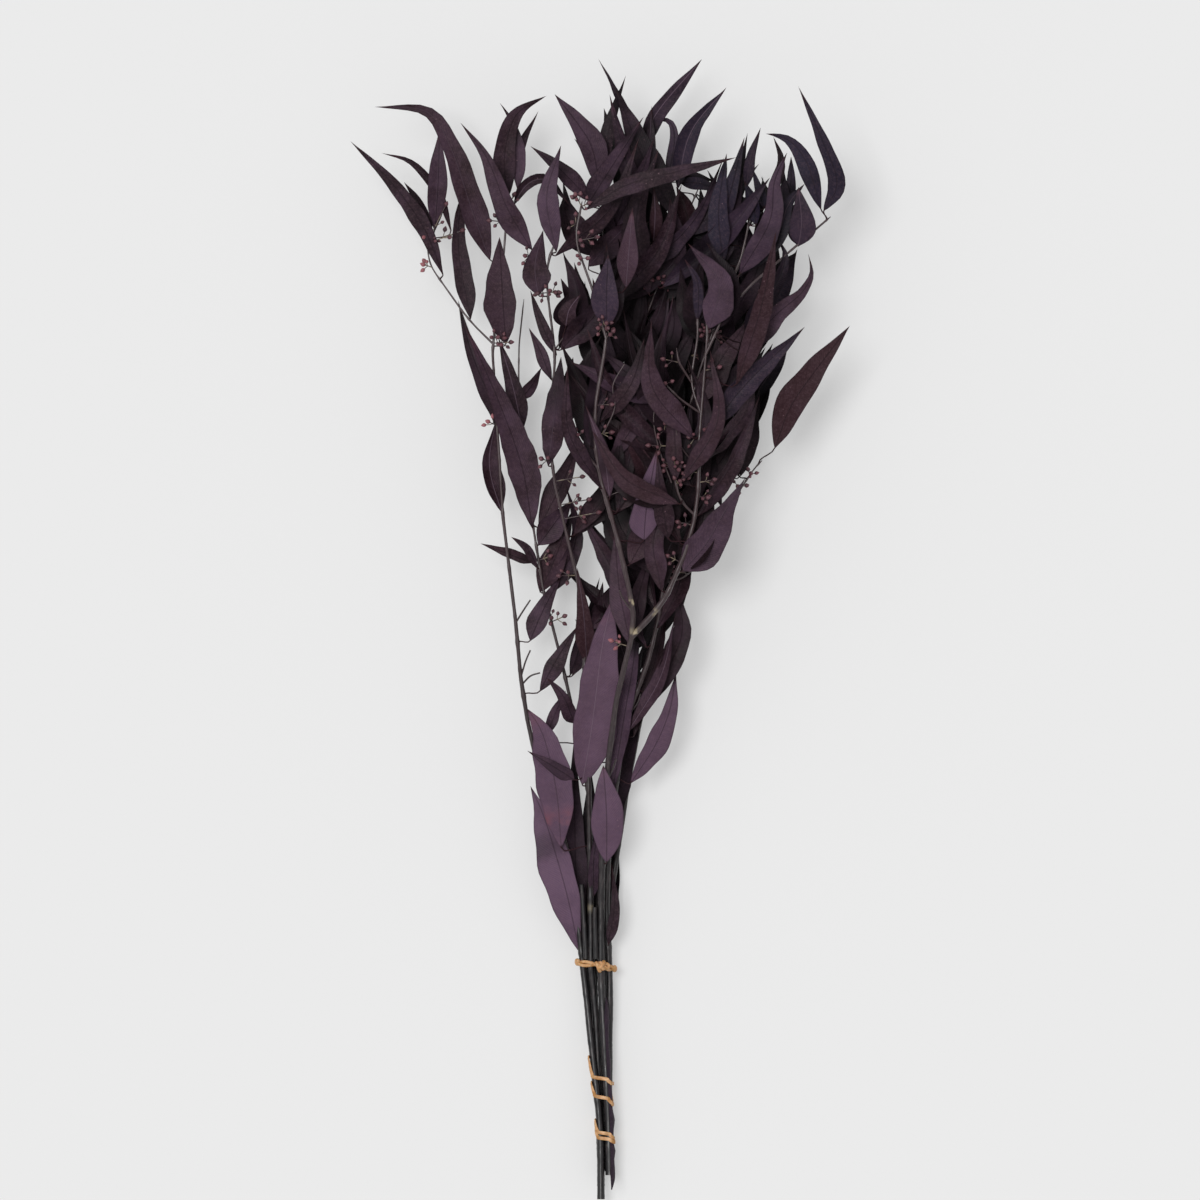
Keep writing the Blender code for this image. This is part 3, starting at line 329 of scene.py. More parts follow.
# Spurs and stubs of cut twigs: radius, points from the lower end to the cut
SPURS = {
    "stem_left": [
        (0.6, [(-52, 4, 38), (-47, 12, 40), (-43, 18, 41)]),
        (0.6, [(-49, -30, 34), (-46, -20, 36), (-43, -13, 37)]),
        (0.6, [(-48, -34, 33), (-43, -29, 35), (-37, -27, 36)]),
        (0.6, [(-33, -100, 23), (-35, -94, 24), (-36, -90, 24)]),
        (1.7, [(-8.6, -204, 16.6), (-9.6, -186, 18.4), (-11.4, -158, 21)]),
    ],
    "stem_middle": [
        (0.7, [(-7, -91, 29), (-3, -84, 31), (0, -79, 32)]),
        (1.6, [(-2.6, -204, 19.6), (-3.0, -188, 21.4), (-3.4, -172, 23.4)]),
        (1.6, [(-4.2, -264, 8.6), (-5.6, -240, 8.6), (-8.4, -206, 9.0), (-10.5, -170, 11)]),
    ],
    "stem_front": [
        (0.7, [(4, -94, 38), (8, -86, 41), (10, -80, 43)]),
        (0.6, [(19, 12, 68), (14, 19, 70), (12, 24, 71)]),
        (0.5, [(44, 90, 82), (36, 112, 84), (33, 131, 86), (38, 146, 87)]),
        (0.45, [(60, 100, 81), (50, 112, 84), (47, 124, 86), (52, 137, 87)]),
        (0.45, [(2, 120, 87), (9, 136, 89), (8, 150, 90), (15, 163, 91)]),
        (1.3, [(2.6, -336, 7.0), (2.5, -305, 7.0), (2.4, -281, 7.2), (1.6, -262, 7.7), (0.6, -242, 9.0),
               (0.2, -225, 10.0), (0.2, -200, 11.0), (1.0, -170, 13)]),
    ],
    "stem_right": [(0.6, [(18, -52, 36), (23, -46, 38), (25, -40, 39)])],
}

# Weights of lilac, slate and russet in the leaves that stand out, by node and place in LEAVES
TONES = {
    "stem_left": {
        0: (.15, 0, 0), 1: (.05, 0, 0), 4: (0, 0, 0), 5: (.45, 0, .2), 6: (.2, 0, .1), 9: (.4, .1, .35),
        10: (0, 0, 0), 11: (.3, 0, .2), 12: (.95, .1, 0), 13: (.5, 0, 0), 14: (.3, 0, 0),
    },
    "stem_middle": {
        0: (.5, 0, .1), 1: (.15, 0, 0), 4: (.5, 0, .15), 6: (.6, .1, 0), 7: (.9, 0, .15), 8: (.4, 0, .1),
        9: (.3, 0, .8), 10: (.3, 0, .3), 12: (.5, 0, .1), 17: (0, 0, 0), 20: (.7, .1, 0), 21: (.97, .1, .1),
    },
    "stem_front": {
        0: (.95, .1, .1), 2: (.6, .1, .1), 3: (.97, .1, .1), 6: (.1, 0, 0), 9: (.4, .5, 0), 10: (.6, .5, 0),
        14: (.7, .3, .1), 15: (.65, .1, .1), 16: (.4, .6, 0), 17: (.6, 0, .4), 18: (.3, 0, .6),
        19: (.5, 0, .1), 20: (.1, 0, 0),
    },
    "stem_right": {
        0: (.1, 0, 0), 1: (.7, .1, 0), 2: (.2, 0, .5), 3: (.45, 0, .2), 4: (.85, 0, .1), 5: (.2, 0, .8),
        6: (.4, .8, 0), 8: (.2, .9, 0),
    },
    "stem_back": {12: (.3, 0, .6), 13: (.4, .1, .1), 14: (.3, 0, .6), 17: (.3, .7, 0)},
    "stem_back_right": {0: (.2, .6, 0), 1: (.3, .1, .3), 3: (.1, 0, 0)},
}

# Strip of leaf that lies along the right of the cut ends: y and outer reach past the stem, then the
# angles that it covers, distance of its skins to the stem, length that narrows, length and turn of
# its end, tone, and painted shade with wear
STRIP = [
    (-228, 0.2), (-235, 1.2), (-242, 1.5), (-251, 0.6), (-261, 0.3), (-269, 0.8), (-275, 0.2),
    (-282, 0.0), (-288, 0.6), (-294, 0.0), (-299, 0.5), (-304, 1.5), (-310, 0.3), (-318, 0.0),
    (-323, 1.4), (-328, 0.3), (-334, 0.6), (-340, 0.4), (-347, 0.0),
]
STRIP_TURNS = [math.radians(-28 + 17 * k) for k in range(7)]
STRIP_SKIN = (0.34, 0.08)
STRIP_TAPER = 12
STRIP_END = (14, math.radians(42))
STRIP_TONE = (0.3, 0.4, 0.0)
STRIP_SHADE_AND_WEAR = (0.3, 0.2, 0.0)

# Pale corky flecks on the wood: place in plan, strength
SCARS = [
    (19.2, 16.1, 1.0), (21.7, -1.2, 0.8), (11.8, -75.6, 0.45), (23.6, -37.8, 0.35),
    (-9.3, -199.6, 0.4), (-4.3, -172.4, 0.4), (5.0, -318.0, 0.3), (33.0, 11.0, 0.4),
]

# Buds that kept their pink: place in plan, how near a bud must be, strength
PINK_BUDS = [(-69, 128), (7, -7), (-108, 246), (-109, 225)]
PINK_REACH = 3
PINK = 0.7

# Fine leaves: rows of a petiole, rows of a blade by least length, points across it by least width,
# spacing of the midrib's points, gap to the table, angle from which an edge is sharp
PETIOLE_ROWS = 5
LEAF_ROWS = ((75, 22), (45, 16), (0, 12))
LEAF_COLUMNS = ((10, 7), (0, 5))
FINE_SPACING = 2.5
TABLE_GAP = 0.1
SHARP_EDGE = math.radians(75)

# Painted shade of a leaf where others lie over it: reach and height from which another counts as
# lying over it, how many make it dark, darkest share
COVER_REACH = 7.0
COVER_GAP = 4.0
COVER_COUNT = 1.8
DEEPEST_PAINTED_SHADE = 0.96

# What the random draws of a leaf range over: fullness by whether it grows in the upper half; chance of
# a deep fold, most twist and most curl in degrees for loose leaves and for those that stand out
LEAF_FULLNESS = (1.06, 1.17)
LOOSE = (0.45, 80, 50)
STEADY = (0.15, 34, 25)
RIPPLE = (0.3, 1.3)
WAVE = (11, 24)
PHASE = (0, 6.28)
SLIGHT_FOLD = (0.05, 0.25)
DEEP_FOLD = (0.35, 0.8)
LEAN = 0.22
PEAK = (0.2, 0.42)
DRAWN = (1.15, 1.8)
DRY_CHANCE = 0.25
DRY_TIP = (0.2, 0.6)
DRY_FROM = 0.82

# Marks of leaves that only the scene has, and the painted shade they get, as a number of leaves more than
# the counted ones that lie over them
DOUBLE, HIDDEN = -1, -2
PAINTED_SHADE_COVERS = {DOUBLE: 1.0, HIDDEN: 6.0}

# Doubles: lowest y of their base, least y and greatest x of the crowded corner that has none, turn in
# degrees, drop, share of the first leaf's length and width
LOWEST_DOUBLE = -30
CROWDED = (235, 60)
DOUBLE_TURN = (9, 24)
DOUBLE_DROP = (5, 12)
DOUBLE_LENGTH = (0.8, 1.0)
DOUBLE_WIDTH = 0.9

# Leaves low behind the stems, dark by painted shade where the gaps between the stems show: node, mark,
# width, points of the midrib
BACKING = [
    ("stem_back", HIDDEN, 19, [(-2.5, -204, 3.4), (-3.5, -168, 4.5), (-4.5, -128, 7), (-6, -84, 11)]),
    ("stem_back_right", HIDDEN, 12, [(5, -196, 3.2), (6, -165, 4.2), (8, -138, 6), (10, -108, 8)]),
    ("stem_left", DOUBLE, 17, [(-12, -196, 9), (-14.5, -160, 11), (-15.5, -122, 14), (-16, -66, 20)]),
    ("stem_right", DOUBLE, 16, [(7, -122, 13), (11, -88, 19), (19, -50, 27), (27, -8, 35)]),
]

# Leaves with their own form (where the blade is widest, how late it narrows, fullness), the one that
# lies higher (lift in mm), the one with a pale midrib, the one with a blemish, and its place, spread
# and strength
FORMS = {
    ("stem_front", 0): (0.4, 2.1, 1.06),
    ("stem_front", 3): (0.22, 1.3, 1.5),
    ("stem_left", 12): (0.5, 1.7, 1.25),
    ("stem_middle", 7): (0.31, 2.3, 1.06),
    ("stem_middle", 21): (0.46, 2.1, 1.12),
}
RAISED = {("stem_middle", 5): 8.0}
PALE_RIBBED = ("stem_middle", 7)
BLEMISHED = ("stem_middle", 21)
BLEMISH = (0.17, 0.09, 0.85)

# Fine wood: spacing of its points, slimming of the upper wood, y at which the bark is old and how far
# on it is young, first knot and spacing of the knots, reach and swelling of joints and knots, reach
# of a fleck, length that narrows to the tip, and that of spurs
WOOD_SPACING = 1.8
SLIMMER = 0.3
OLD_UP_TO = -190
AGEING = 260
FIRST_KNOT = (10, 30)
KNOT_SPACING = (24, 40)
JOINT = (1.6, 0.3)
KNOT = (1.5, 0.16)
SCAR_REACH = 2
TIP_LENGTH = 6
SPUR_TAPER = 0.2

# Buds: radius against place from base to point, sides and rings, where the stalk forks, radii of the
# stalks, tilt in degrees, reach and size of the companions
BUD_PROFILE = [
    (0.0, 0.3), (0.12, 0.62), (0.38, 1.0), (0.56, 0.93), (0.62, 0.84), (0.82, 0.5), (1.0, 0.06),
]
BUD_SIDES = 7
BUD_RINGS = 7
FORK_AT = 0.45
STALK_RADII = (0.26, 0.36)
STALK_AGE = (1.0, 0.3, 0.0)
COMPANION_TILT = (32, 75)
COMPANION_REACH = (3.8, 6.0)
COMPANION_SIZE = (0.65, 1.0)

# Flat bands as the scene winds them, twice from the left over the top: y at even steps, and how far
# one turn is lifted off the other, in thicknesses. Then the gap to the stems, the room between the
# turns, parts between two points, and the lowest place of their skin
WINDINGS = {
    "band_lower": (
        (-304.5, -309.5, -312.5, -314.5, -315.2, -314.5, -313.0, -311.5,
         -309.8, -313.4, -315.7, -317.1, -317.6, -315.5, -310.0, -305.5),
        (0, 0, 0, 0, 0, 0, 0, 0, 0, 0, 0, 0, 0.4, 1, 1, 0.2)),
    "band_spiral": (
        (-265.0, -274.5, -278.5, -280.5, -281.5, -281.3, -281.2, -281.0,
         -280.9, -286.5, -290.5, -293.0, -294.5, -291.0, -280.0, -269.5),
        (0, 0, 0, 0, 0, 0, 0, 0, 0, 0, 0, 0, 0, 0.6, 1, 0.4)),
}
WINDING_GAP = 0.15
WINDING_ROOM = 0.1
FLAT_PARTS = 4
LOWEST_PLACE = (-9.0, -9.0, 0.0)

# Twisted band: y, slant and lift of its path, height that it stands out by, parts between two points,
# and width and height of its section in strand radii
ROPE_PATH = (-208.2, -2.2, -0.4)
ROPE_HEIGHT = 2.4
ROPE_PARTS = 8
ROPE_SECTION = (1.1, 0.62)

# Its knot: x, rise over the band, turns (tilt in degrees, reach, shift) and points of each. The loop
# left over: size, droop, place past the knot, points
KNOT_AT = 1.2
KNOT_RISE = Vector((0.0, 0.0, 0.4))
KNOT_TURNS = ((25, 2.8, -2.0), (-30, 3.0, 0.4), (65, 2.5, -0.8))
KNOT_POINTS = 18
LOOP_SIZE = (3.6, 1.5)
LOOP_DROOP = -1.3
LOOP_START = Vector((1.2, -0.4, 0.2))
LOOP_POINTS = 24

# Sides of a skin, and size and depth of its grain, in metres
STALK_SKIN = (5, 0.002, 0.00004)
STRAND_SKIN = (10, 0.003, 0.0001)

# Light and picture: where the key light comes from, point at the middle of the picture in mm, half the
# floor's width, depth of the floor below the object and reach of the camera in metres
KEY_FROM = (-0.26, 0.17, 1.0)
PICTURE_CENTRE = (0.0, 17.98)
FLOOR_HALF = 3.0
FLOOR_DEPTH = 0.0002
CAMERA_REACH = 100


def clamp(value):
    """Value held between 0 and 1."""
    return min(1.0, max(0.0, value))


def bell(distance, reach):
    """Weight that falls from 1 at no distance to nearly nothing at twice the reach."""
    return math.exp(-(distance / reach) ** 2)


def between(a, b, c, d, t):
    """Value at t from b to c on a Catmull-Rom curve through the four."""
    square = (2 * a - 5 * b + 4 * c - d) * t ** 2
    cube = (3 * b - a - 3 * c + d) * t ** 3
    return 0.5 * (2 * b + (c - a) * t + square + cube)


def smooth(points, spacing):
    """Points about spacing apart on a Catmull-Rom curve through the given ones."""
    knots = [Vector(point) for point in points]
    knots = [2 * knots[0] - knots[1]] + knots + [2 * knots[-1] - knots[-2]]
    line = [knots[1]]
    for a, b, c, d in zip(knots, knots[1:], knots[2:], knots[3:]):
        steps = max(1, round((c - b).length / spacing))
        line += [between(a, b, c, d, step / steps) for step in range(1, steps + 1)]
    return line


def lengths(line):
    """Distance along a line to each of its points."""
    total = [0.0]
    for a, b in zip(line, line[1:]):
        total.append(total[-1] + (b - a).length)
    return total


def resample(line, fractions):
    """Points at the given fractions of a line's length."""
    total = lengths(line)
    points = []
    for fraction in fractions:
        distance = fraction * total[-1]
        i = 1
        while i < len(line) - 1 and total[i] < distance:
            i += 1
        t = (distance - total[i - 1]) / max(total[i] - total[i - 1], 1e-9)
        points.append(line[i - 1].lerp(line[i], t))
    return points


class Wood:
    """A stem or twig: its node, centre line and radius at each point."""

    def __init__(self, node, points, radii):
        self.node = node
        self.line = smooth(points, SAMPLE_SPACING)
        total = lengths(self.line)
        root, tip = radii
        self.radii = [root + (tip - root) * along / total[-1] for along in total]


def settle(woods, rounds=160):
    """Bend the wood of different nodes clear of each other and of the table."""
    places = np.array([tuple(p) for wood in woods for p in wood.line], dtype=float)
    radii = np.array([r for wood in woods for r in wood.radii])
    nodes = np.array([i for i, wood in enumerate(woods) for _ in wood.line])
    names = [wood.node for wood in woods]
    owner = np.array([names.index(names[i]) for i in nodes])
    room = radii[:, None] + radii[None, :] + CLEARANCE + 0.1
    foreign = owner[:, None] != owner[None, :]
    inner = (nodes[1:-1] == nodes[:-2]) & (nodes[1:-1] == nodes[2:])
    for _ in range(rounds):
        apart = places[:, None, :] - places[None, :, :]
        distance = np.sqrt((apart ** 2).sum(axis=2)) + 1e-9
        lack = np.where(foreign, np.maximum(room - distance, 0.0), 0.0)
        push = (apart * (0.35 * lack / distance)[:, :, None]).sum(axis=1)
        push[:, 1] = 0.0
        soft = push.copy()
        blend = 0.25 * push[:-2] + 0.5 * push[1:-1] + 0.25 * push[2:]
        soft[1:-1][inner] = blend[inner]
        places += soft
        places[:, 2] = np.maximum(places[:, 2], radii + FLOOR_GAP)
    start = 0
    for wood in woods:
        wood.line = [Vector(p) for p in places[start:start + len(wood.line)]]
        start += len(wood.line)


def straighten(line, slack):
    """Fewest points of a line that it stays within the slack of."""
    first, last = line[0], line[-1]
    chord = last - first
    best, worst = slack, None
    for i in range(1, len(line) - 1):
        t = (line[i] - first).dot(chord) / chord.length_squared
        away = (line[i] - first - chord * t).length
        if away > best:
            best, worst = away, i
    if worst is None:
        return [first, last]
    return straighten(line[:worst + 1], slack)[:-1] + straighten(line[worst:], slack)


def reseat(woods):
    """Bring each twig's root back onto the wood of its node that carries it."""
    for i, twig in enumerate(woods):
        carriers = [wood for wood in woods[:i] if wood.node == twig.node]
        if not carriers:
            continue
        seats = [point for wood in carriers for point in wood.line]
        seat = min(seats, key=lambda point: (point - twig.line[0]).length)
        shift = seat - twig.line[0]
        twig.line = [p + shift * max(0.0, 1 - k / 5) for k, p in enumerate(twig.line)]


def across(points, reference):
    """Tangent, side and normal at each point of a line."""
    frames = []
    last = len(points) - 1
    for i in range(len(points)):
        tangent = (points[min(i + 1, last)] - points[max(i - 1, 0)]).normalized()
        side = tangent.cross(reference).normalized()
        frames.append((tangent, side, side.cross(tangent)))
    return frames


def skin(rings, tip=None):
    """Vertices and triangles of a closed surface over rings of points."""
    count = len(rings[0])
    verts = [point for ring in rings for point in ring]
    faces = []
    for i in range(len(rings) - 1):
        here, there = i * count, (i + 1) * count
        for k in range(count):
            n = (k + 1) % count
            a, b, c, d = here + k, here + n, there + n, there + k
            faces += [(a, b, c), (a, c, d)] if k % 2 == 0 else [(a, b, d), (b, c, d)]
    faces += [(0, k + 1, k) for k in range(1, count - 1)]
    last = (len(rings) - 1) * count
    if tip is None:
        faces += [(last, last + k, last + k + 1) for k in range(1, count - 1)]
    else:
        verts.append(tip)
        faces += [(last + k, last + (k + 1) % count, len(verts) - 1) for k in range(count)]
    volume = sum(verts[a].dot(verts[b].cross(verts[c])) for a, b, c in faces)
    if volume < 0:
        faces = [(a, c, b) for a, b, c in faces]
    return verts, faces


def tube(points, radii, sides):
    """Closed tube along a line."""
    ends = (points[-1] - points[0]).normalized()
    reference = Vector((0, 0, 1)) if abs(ends.z) < 0.9 else Vector((1, 0, 0))
    turns = [2 * math.pi * k / sides for k in range(sides)]
    rings = []
    for point, radius, frame in zip(points, radii, across(points, reference)):
        side, normal = frame[1], frame[2]
        rings.append([point + radius * (side * math.cos(a) + normal * math.sin(a)) for a in turns])
    return skin(rings)


def wood_mesh(wood):
    """Stem or twig as a tube with a ring at each bend; its line then follows the tube."""
    root, tip = wood.radii[0], wood.radii[-1]
    bends = straighten(wood.line, SLACK)
    total = lengths(bends)
    radii = [root + (tip - root) * along / total[-1] for along in total]
    count = round(total[-1] / SEAT_SPACING)
    fractions = [i / count for i in range(count + 1)]
    wood.line = resample(bends, fractions)
    wood.radii = [root + (tip - root) * fraction for fraction in fractions]
    return tube(bends, radii, STEM_SIDES if root > STEM_LEAST_RADIUS else TWIG_SIDES)


def blade_width(t):
    """Width of a narrow leaf as a part of its greatest width."""
    return (t / WIDEST_AT) ** 0.75 * ((1 - t) / (1 - WIDEST_AT)) ** 1.22


def leaf_mesh(root, midrib, width, roll, margin=0.0, blade_only=False):
    """Closed leaf: a petiole from inside the wood, then a blade with a keel along its midrib."""
    length = lengths(midrib)[-1]
    steps = next(count for least, count in BLADE_STEPS if length > least)
    fractions = [(i / steps) ** 1.08 for i in range(steps + 1)]
    points = [root] + resample(midrib, fractions)
    rings = []
    for i, frame in enumerate(across(points, Vector((0, 0, 1)))[:-1]):
        spin = Matrix.Rotation(math.radians(roll if i > 1 else 0), 3, frame[0])
        side, normal = spin @ frame[1], spin @ frame[2]
        broad = width / 2 * blade_width(fractions[i - 1]) if i > 1 else PETIOLE_RADIUS
        side *= broad + margin
        top = points[i] + normal * (BLADE_THICKNESS * (1 - KEEL_SHARE) + margin / 2)
        keel = points[i] - normal * (BLADE_THICKNESS * KEEL_SHARE + margin)
        rings.append([top - side, top + side, keel])
    if blade_only:
        rings = rings[2:]
    return skin(rings, points[-1] + frame[0] * margin)


def rest_on_table(mesh):
    """The mesh with what lies below the table pressed flat onto it."""
    verts, faces = mesh
    return [Vector((p.x, p.y, max(p.z, 0.0))) for p in verts], faces


def bud_mesh(root, heart, margin=0.0):
    """Closed flower bud at the end of its stalk."""
    aim = (heart - root).normalized()
    reference = Vector((0, 0, 1)) if abs(aim.z) < 0.9 else Vector((1, 0, 0))
    base = heart - aim * BUD_LENGTH * BUD_BELOW
    rings = []
    for point, radius in ((root, STALK_RADIUS), (base, STALK_RADIUS), (heart, BUD_RADIUS)):
        side = aim.cross(reference).normalized() * (radius + margin)
        normal = side.cross(aim)
        rings.append([point - side, point + normal, point + side, point - normal])
    return skin(rings, heart + aim * (BUD_LENGTH * (1 - BUD_BELOW) + margin))


class Solid:
    """A placed mesh with what the search for clear places needs."""

    def __init__(self, node, mesh):
        self.node = node
        self.verts, self.faces = mesh
        self.tree = BVHTree.FromPolygons(self.verts, self.faces)
        self.low = [min(p[k] for p in self.verts) for k in range(3)]
        self.high = [max(p[k] for p in self.verts) for k in range(3)]

    def meets(self, other):
        """True where the two surfaces cross."""
        for k in range(3):
            if self.low[k] > other.high[k] or other.low[k] > self.high[k]:
                return False
        return bool(self.tree.overlap(other.tree))


class Bunch:
    """All solids placed so far."""

    def __init__(self):
        self.wood = []
        self.grown = []
        self.leaves = []
        self.buds = []

    def score(self, trial, blade=None):
        """Solids of its own node that a trial crosses, or None where it crosses another node."""
        own = 0
        if trial.low[2] < FLOOR_GAP - CLEARANCE:
            return None
        for solid in self.wood:
            if solid.node != trial.node and trial.meets(solid):
                return None
            if blade and solid.node == trial.node and blade.meets(solid):
                own += 1
        for solid in self.grown:
            if trial.meets(solid):
                if solid.node != trial.node:
                    return None
                own += 1
        return own


def nearest(woods, place, aim):
    """Point of the wood that a leaf or bud at this place grows from."""
    def cost(point):
        away = Vector((point.x - place.x, point.y - place.y))
        return away.length + 1.6 * max(0.0, away.dot(aim))
    return min((point for wood in woods for point in wood.line[2:-1]), key=cost)


def midrib_of(route, root, rise, lift):
    """Midrib in space over its plan points."""
    plan = smooth([(x, y, 0) for x, y in route], 6)
    total = lengths(plan)
    line = []
    for point, along in zip(plan, total):
        t = along / total[-1]
        z = root.z + 0.35 * lift + (rise + 0.65 * lift) * t + MIDRIB_ARCH * math.sin(math.pi * t)
        line.append(Vector((point.x, point.y, max(z, LOWEST_MIDRIB))))
    return line


def place_leaf(bunch, woods, node, width, rise, route, roll, mark=None):
    """Add a leaf where it is clear of the other nodes, and of its own leaves if it can be."""
    aim = Vector((route[1][0] - route[0][0], route[1][1] - route[0][1])).normalized()
    root = nearest(woods, Vector(route[0]), aim)
    best = None
    for lift in LIFTS:
        midrib = midrib_of(route, root, rise, lift)
        for turn in ROLLS:
            trial = Solid(node, leaf_mesh(root, midrib, width, roll + turn, CLEARANCE))
            blade = Solid(node, leaf_mesh(root, midrib, width, roll + turn, blade_only=True))
            own = bunch.score(trial, blade)
            if own is None or (best and best[0] <= own):
                continue
            best = (own, midrib, roll + turn)
            if own == 0:
                break
        if best and best[0] == 0:
            break
    if not best:
        return
    midrib, roll = best[1:]
    bunch.grown.append(Solid(node, leaf_mesh(root, midrib, width, roll)))
    bunch.leaves.append((node, root, midrib, width, roll, mark))


def place_bud(bunch, woods, node, place, rng):
    """Add a bud on its stalk where it is clear of the other nodes."""
    heart = Vector((place[0], place[1]))
    root = nearest(woods, heart, Vector((0, 1)))
    height = rng.uniform(*BUD_RISE)
    for lift in LIFTS:
        spot = Vector((heart.x, heart.y, root.z + height + 0.7 * lift))
        if (spot - root).length < BUD_LENGTH:
            continue
        if bunch.score(Solid(node, bud_mesh(root, spot, CLEARANCE))) is None:
            continue
        bunch.grown.append(Solid(node, bud_mesh(root, spot)))
        bunch.buds.append((node, root, spot))
        return


def inside(x, y):
    """True where the outline of the head has room."""
    for (y0, low0, high0), (y1, low1, high1) in zip(OUTLINE, OUTLINE[1:]):
        if y0 <= y <= y1:
            t = (y - y0) / (y1 - y0)
            return low0 + (low1 - low0) * t <= x <= high0 + (high1 - high0) * t
    return False


def fill_routes(woods, spacing, lowest, highest, rng):
    """Leaves in turn on either side of the wood, from its lower end to its tip."""
    routes = []
    for wood in woods:
        total = lengths(wood.line)[-1]
        side = rng.choice((-1, 1))
        along = spacing * rng.uniform(0.3, 1.0)
        while along < total:
            start, ahead = resample(wood.line, [along / total, min(1.0, (along + 4) / total)])
            along += spacing * rng.uniform(0.75, 1.25)
            side = -side
            length = rng.uniform(*FILL_LENGTH)
            width = rng.uniform(*FILL_WIDTH)
            spread = math.radians(side * rng.uniform(*FILL_SPREAD))
            bend = math.radians(rng.uniform(-FILL_BEND, FILL_BEND))
            rise = rng.uniform(-FILL_RISE, FILL_RISE)
            roll = rng.uniform(-FILL_ROLL, FILL_ROLL)
            if start.y < lowest or (ahead - start).length < 1e-3:
                continue
            heading = math.atan2(ahead.y - start.y, ahead.x - start.x)
            heading = math.radians(90) + 0.6 * (heading - math.radians(90)) + spread
            first = start.xy + PETIOLE_REACH * Vector((math.cos(heading), math.sin(heading)))
            middle = first + length / 2 * Vector((math.cos(heading), math.sin(heading)))
            turned = heading + bend - 0.5 * spread
            last = middle + length / 2 * Vector((math.cos(turned), math.sin(turned)))
            if inside(*middle) and inside(*last) and last.y < highest:
                routes.append((width, rise, [tuple(first), tuple(middle), tuple(last)], roll))
    return routes


def bud_places(woods, groups, lowest, rng):
    """Groups of three buds spread over the upper wood of a stem."""
    seats = [point for wood in woods for point in wood.line[2:-1] if point.y > lowest + 60]
    places = []
    for group in range(groups):
        seat = seats[int(len(seats) * (group + rng.uniform(0.2, 0.8)) / groups)]
        for turn in BUD_GROUP:
            angle = math.radians(90 + turn + rng.uniform(-15, 15))
            reach = rng.uniform(*BUD_REACH)
            places.append((seat.x + reach * math.cos(angle), seat.y + reach * math.sin(angle)))
    return places


def grow(bunch, woods):
    """Place every leaf and bud of the bunch."""
    by_node = {node: [wood for wood in woods if wood.node == node] for node in STEMS}
    for node, (width, midrib) in RESTING_LEAVES.items():
        root = nearest(by_node[node], Vector(midrib[0]), Vector((0, 1)))
        line = smooth(midrib, 6)
        bunch.grown.append(Solid(node, rest_on_table(leaf_mesh(root, line, width, 0))))
        bunch.leaves.append((node, root, line, width, 0, None))
    rng = random.Random(SEED)
    for node, leaves in LEAVES.items():
        for mark, (width, rise, route) in enumerate(leaves):
            roll = rng.uniform(-LEAF_ROLL, LEAF_ROLL)
            place_leaf(bunch, by_node[node], node, width, rise, route, roll, mark)
    for node, buds in BUDS.items():
        for place in buds:
            place_bud(bunch, by_node[node], node, place, rng)
    for node, (spacing, lowest, highest, groups) in FILL.items():
        for width, rise, route, roll in fill_routes(by_node[node], spacing, lowest, highest, rng):
            place_leaf(bunch, by_node[node], node, width, rise, route, roll)
        for place in bud_places(by_node[node], groups, lowest, rng):
            place_bud(bunch, by_node[node], node, place, rng)


def bundle_at(woods, y):
    """Centre (x, z) and radius of each stem where it passes y."""
    circles = []
    for wood in woods:
        for a, b, radius in zip(wood.line, wood.line[1:], wood.radii):
            if a.y <= y < b.y:
                point = a.lerp(b, (y - a.y) / (b.y - a.y))
                circles.append((point.x, point.z, radius))
                break
    return circles


@functools.cache
def layout():
    """Settled wood, and the bunch with every leaf and bud in its place."""
    woods = []
    for node, (radii, points) in STEMS.items():
        woods.append(Wood(node, points, radii))
        for radius, route in TWIGS[node]:
            woods.append(Wood(node, route, (radius, min(radius, TWIG_TIP_RADIUS))))
    settle(woods)
    reseat(woods)
    bunch = Bunch()
    bunch.wood = [Solid(wood.node, wood_mesh(wood)) for wood in woods]
    grow(bunch, woods)
    return woods, bunch


def linear(hexed):
    """Linear colour of an sRGB hex value."""
    channels = [int(hexed[i:i + 2], 16) / 255 for i in (0, 2, 4)]
    return tuple(c / 12.92 if c <= 0.04045 else ((c + 0.055) / 1.055) ** 2.4 for c in channels)


def colour(name, description, hexed):
    """Colour property with a default given in hex."""
    return FloatVectorProperty(
        name=name, description=description, default=linear(hexed), subtype="COLOR", min=0, max=1)


def size(name, description, default):
    """Length property."""
    return FloatProperty(
        name=name, description=description, default=default, min=0, precision=5, subtype="DISTANCE",
        unit="LENGTH")


class EucalyptusLeafSettings(PropertyGroup):
    """Sizes and colours of the leaves."""

    thickness: size("Blade thickness", "Thickness of a leaf at its midrib", 0.00045)
    ripple: size("Margin ripple", "Height of the waves along a leaf's margins", 0.0006)
    vein_spacing: size("Vein spacing", "Distance between side veins along the midrib", 0.0017)
    plum: colour("Plum", "Base colour of dyed leaves", "24151d")
    lilac: colour("Lilac", "Colour of leaves whose skin has a bloom", "6a5267")
    slate: colour("Slate", "Colour of bluish leaves", "211f30")
    russet: colour("Russet", "Colour of leaves that took less dye", "351e23")
    # Painted shade: the colour that leaves darken towards where other leaves lie over them
    deep: colour("Deep shade", "Colour of leaves that soaked up the most dye", "030102")
    vein: colour("Veins", "Colour of the midrib and veins", "1b1217")
    pale_rib: colour("Pale midribs", "Colour of midribs that stand out", "7a6675")
    dry: colour("Dry patches", "Colour of dry tips and blemishes", "7c4c56")
    speck: colour("Specks", "Colour of oil glands and dry specks", "8a6c74")


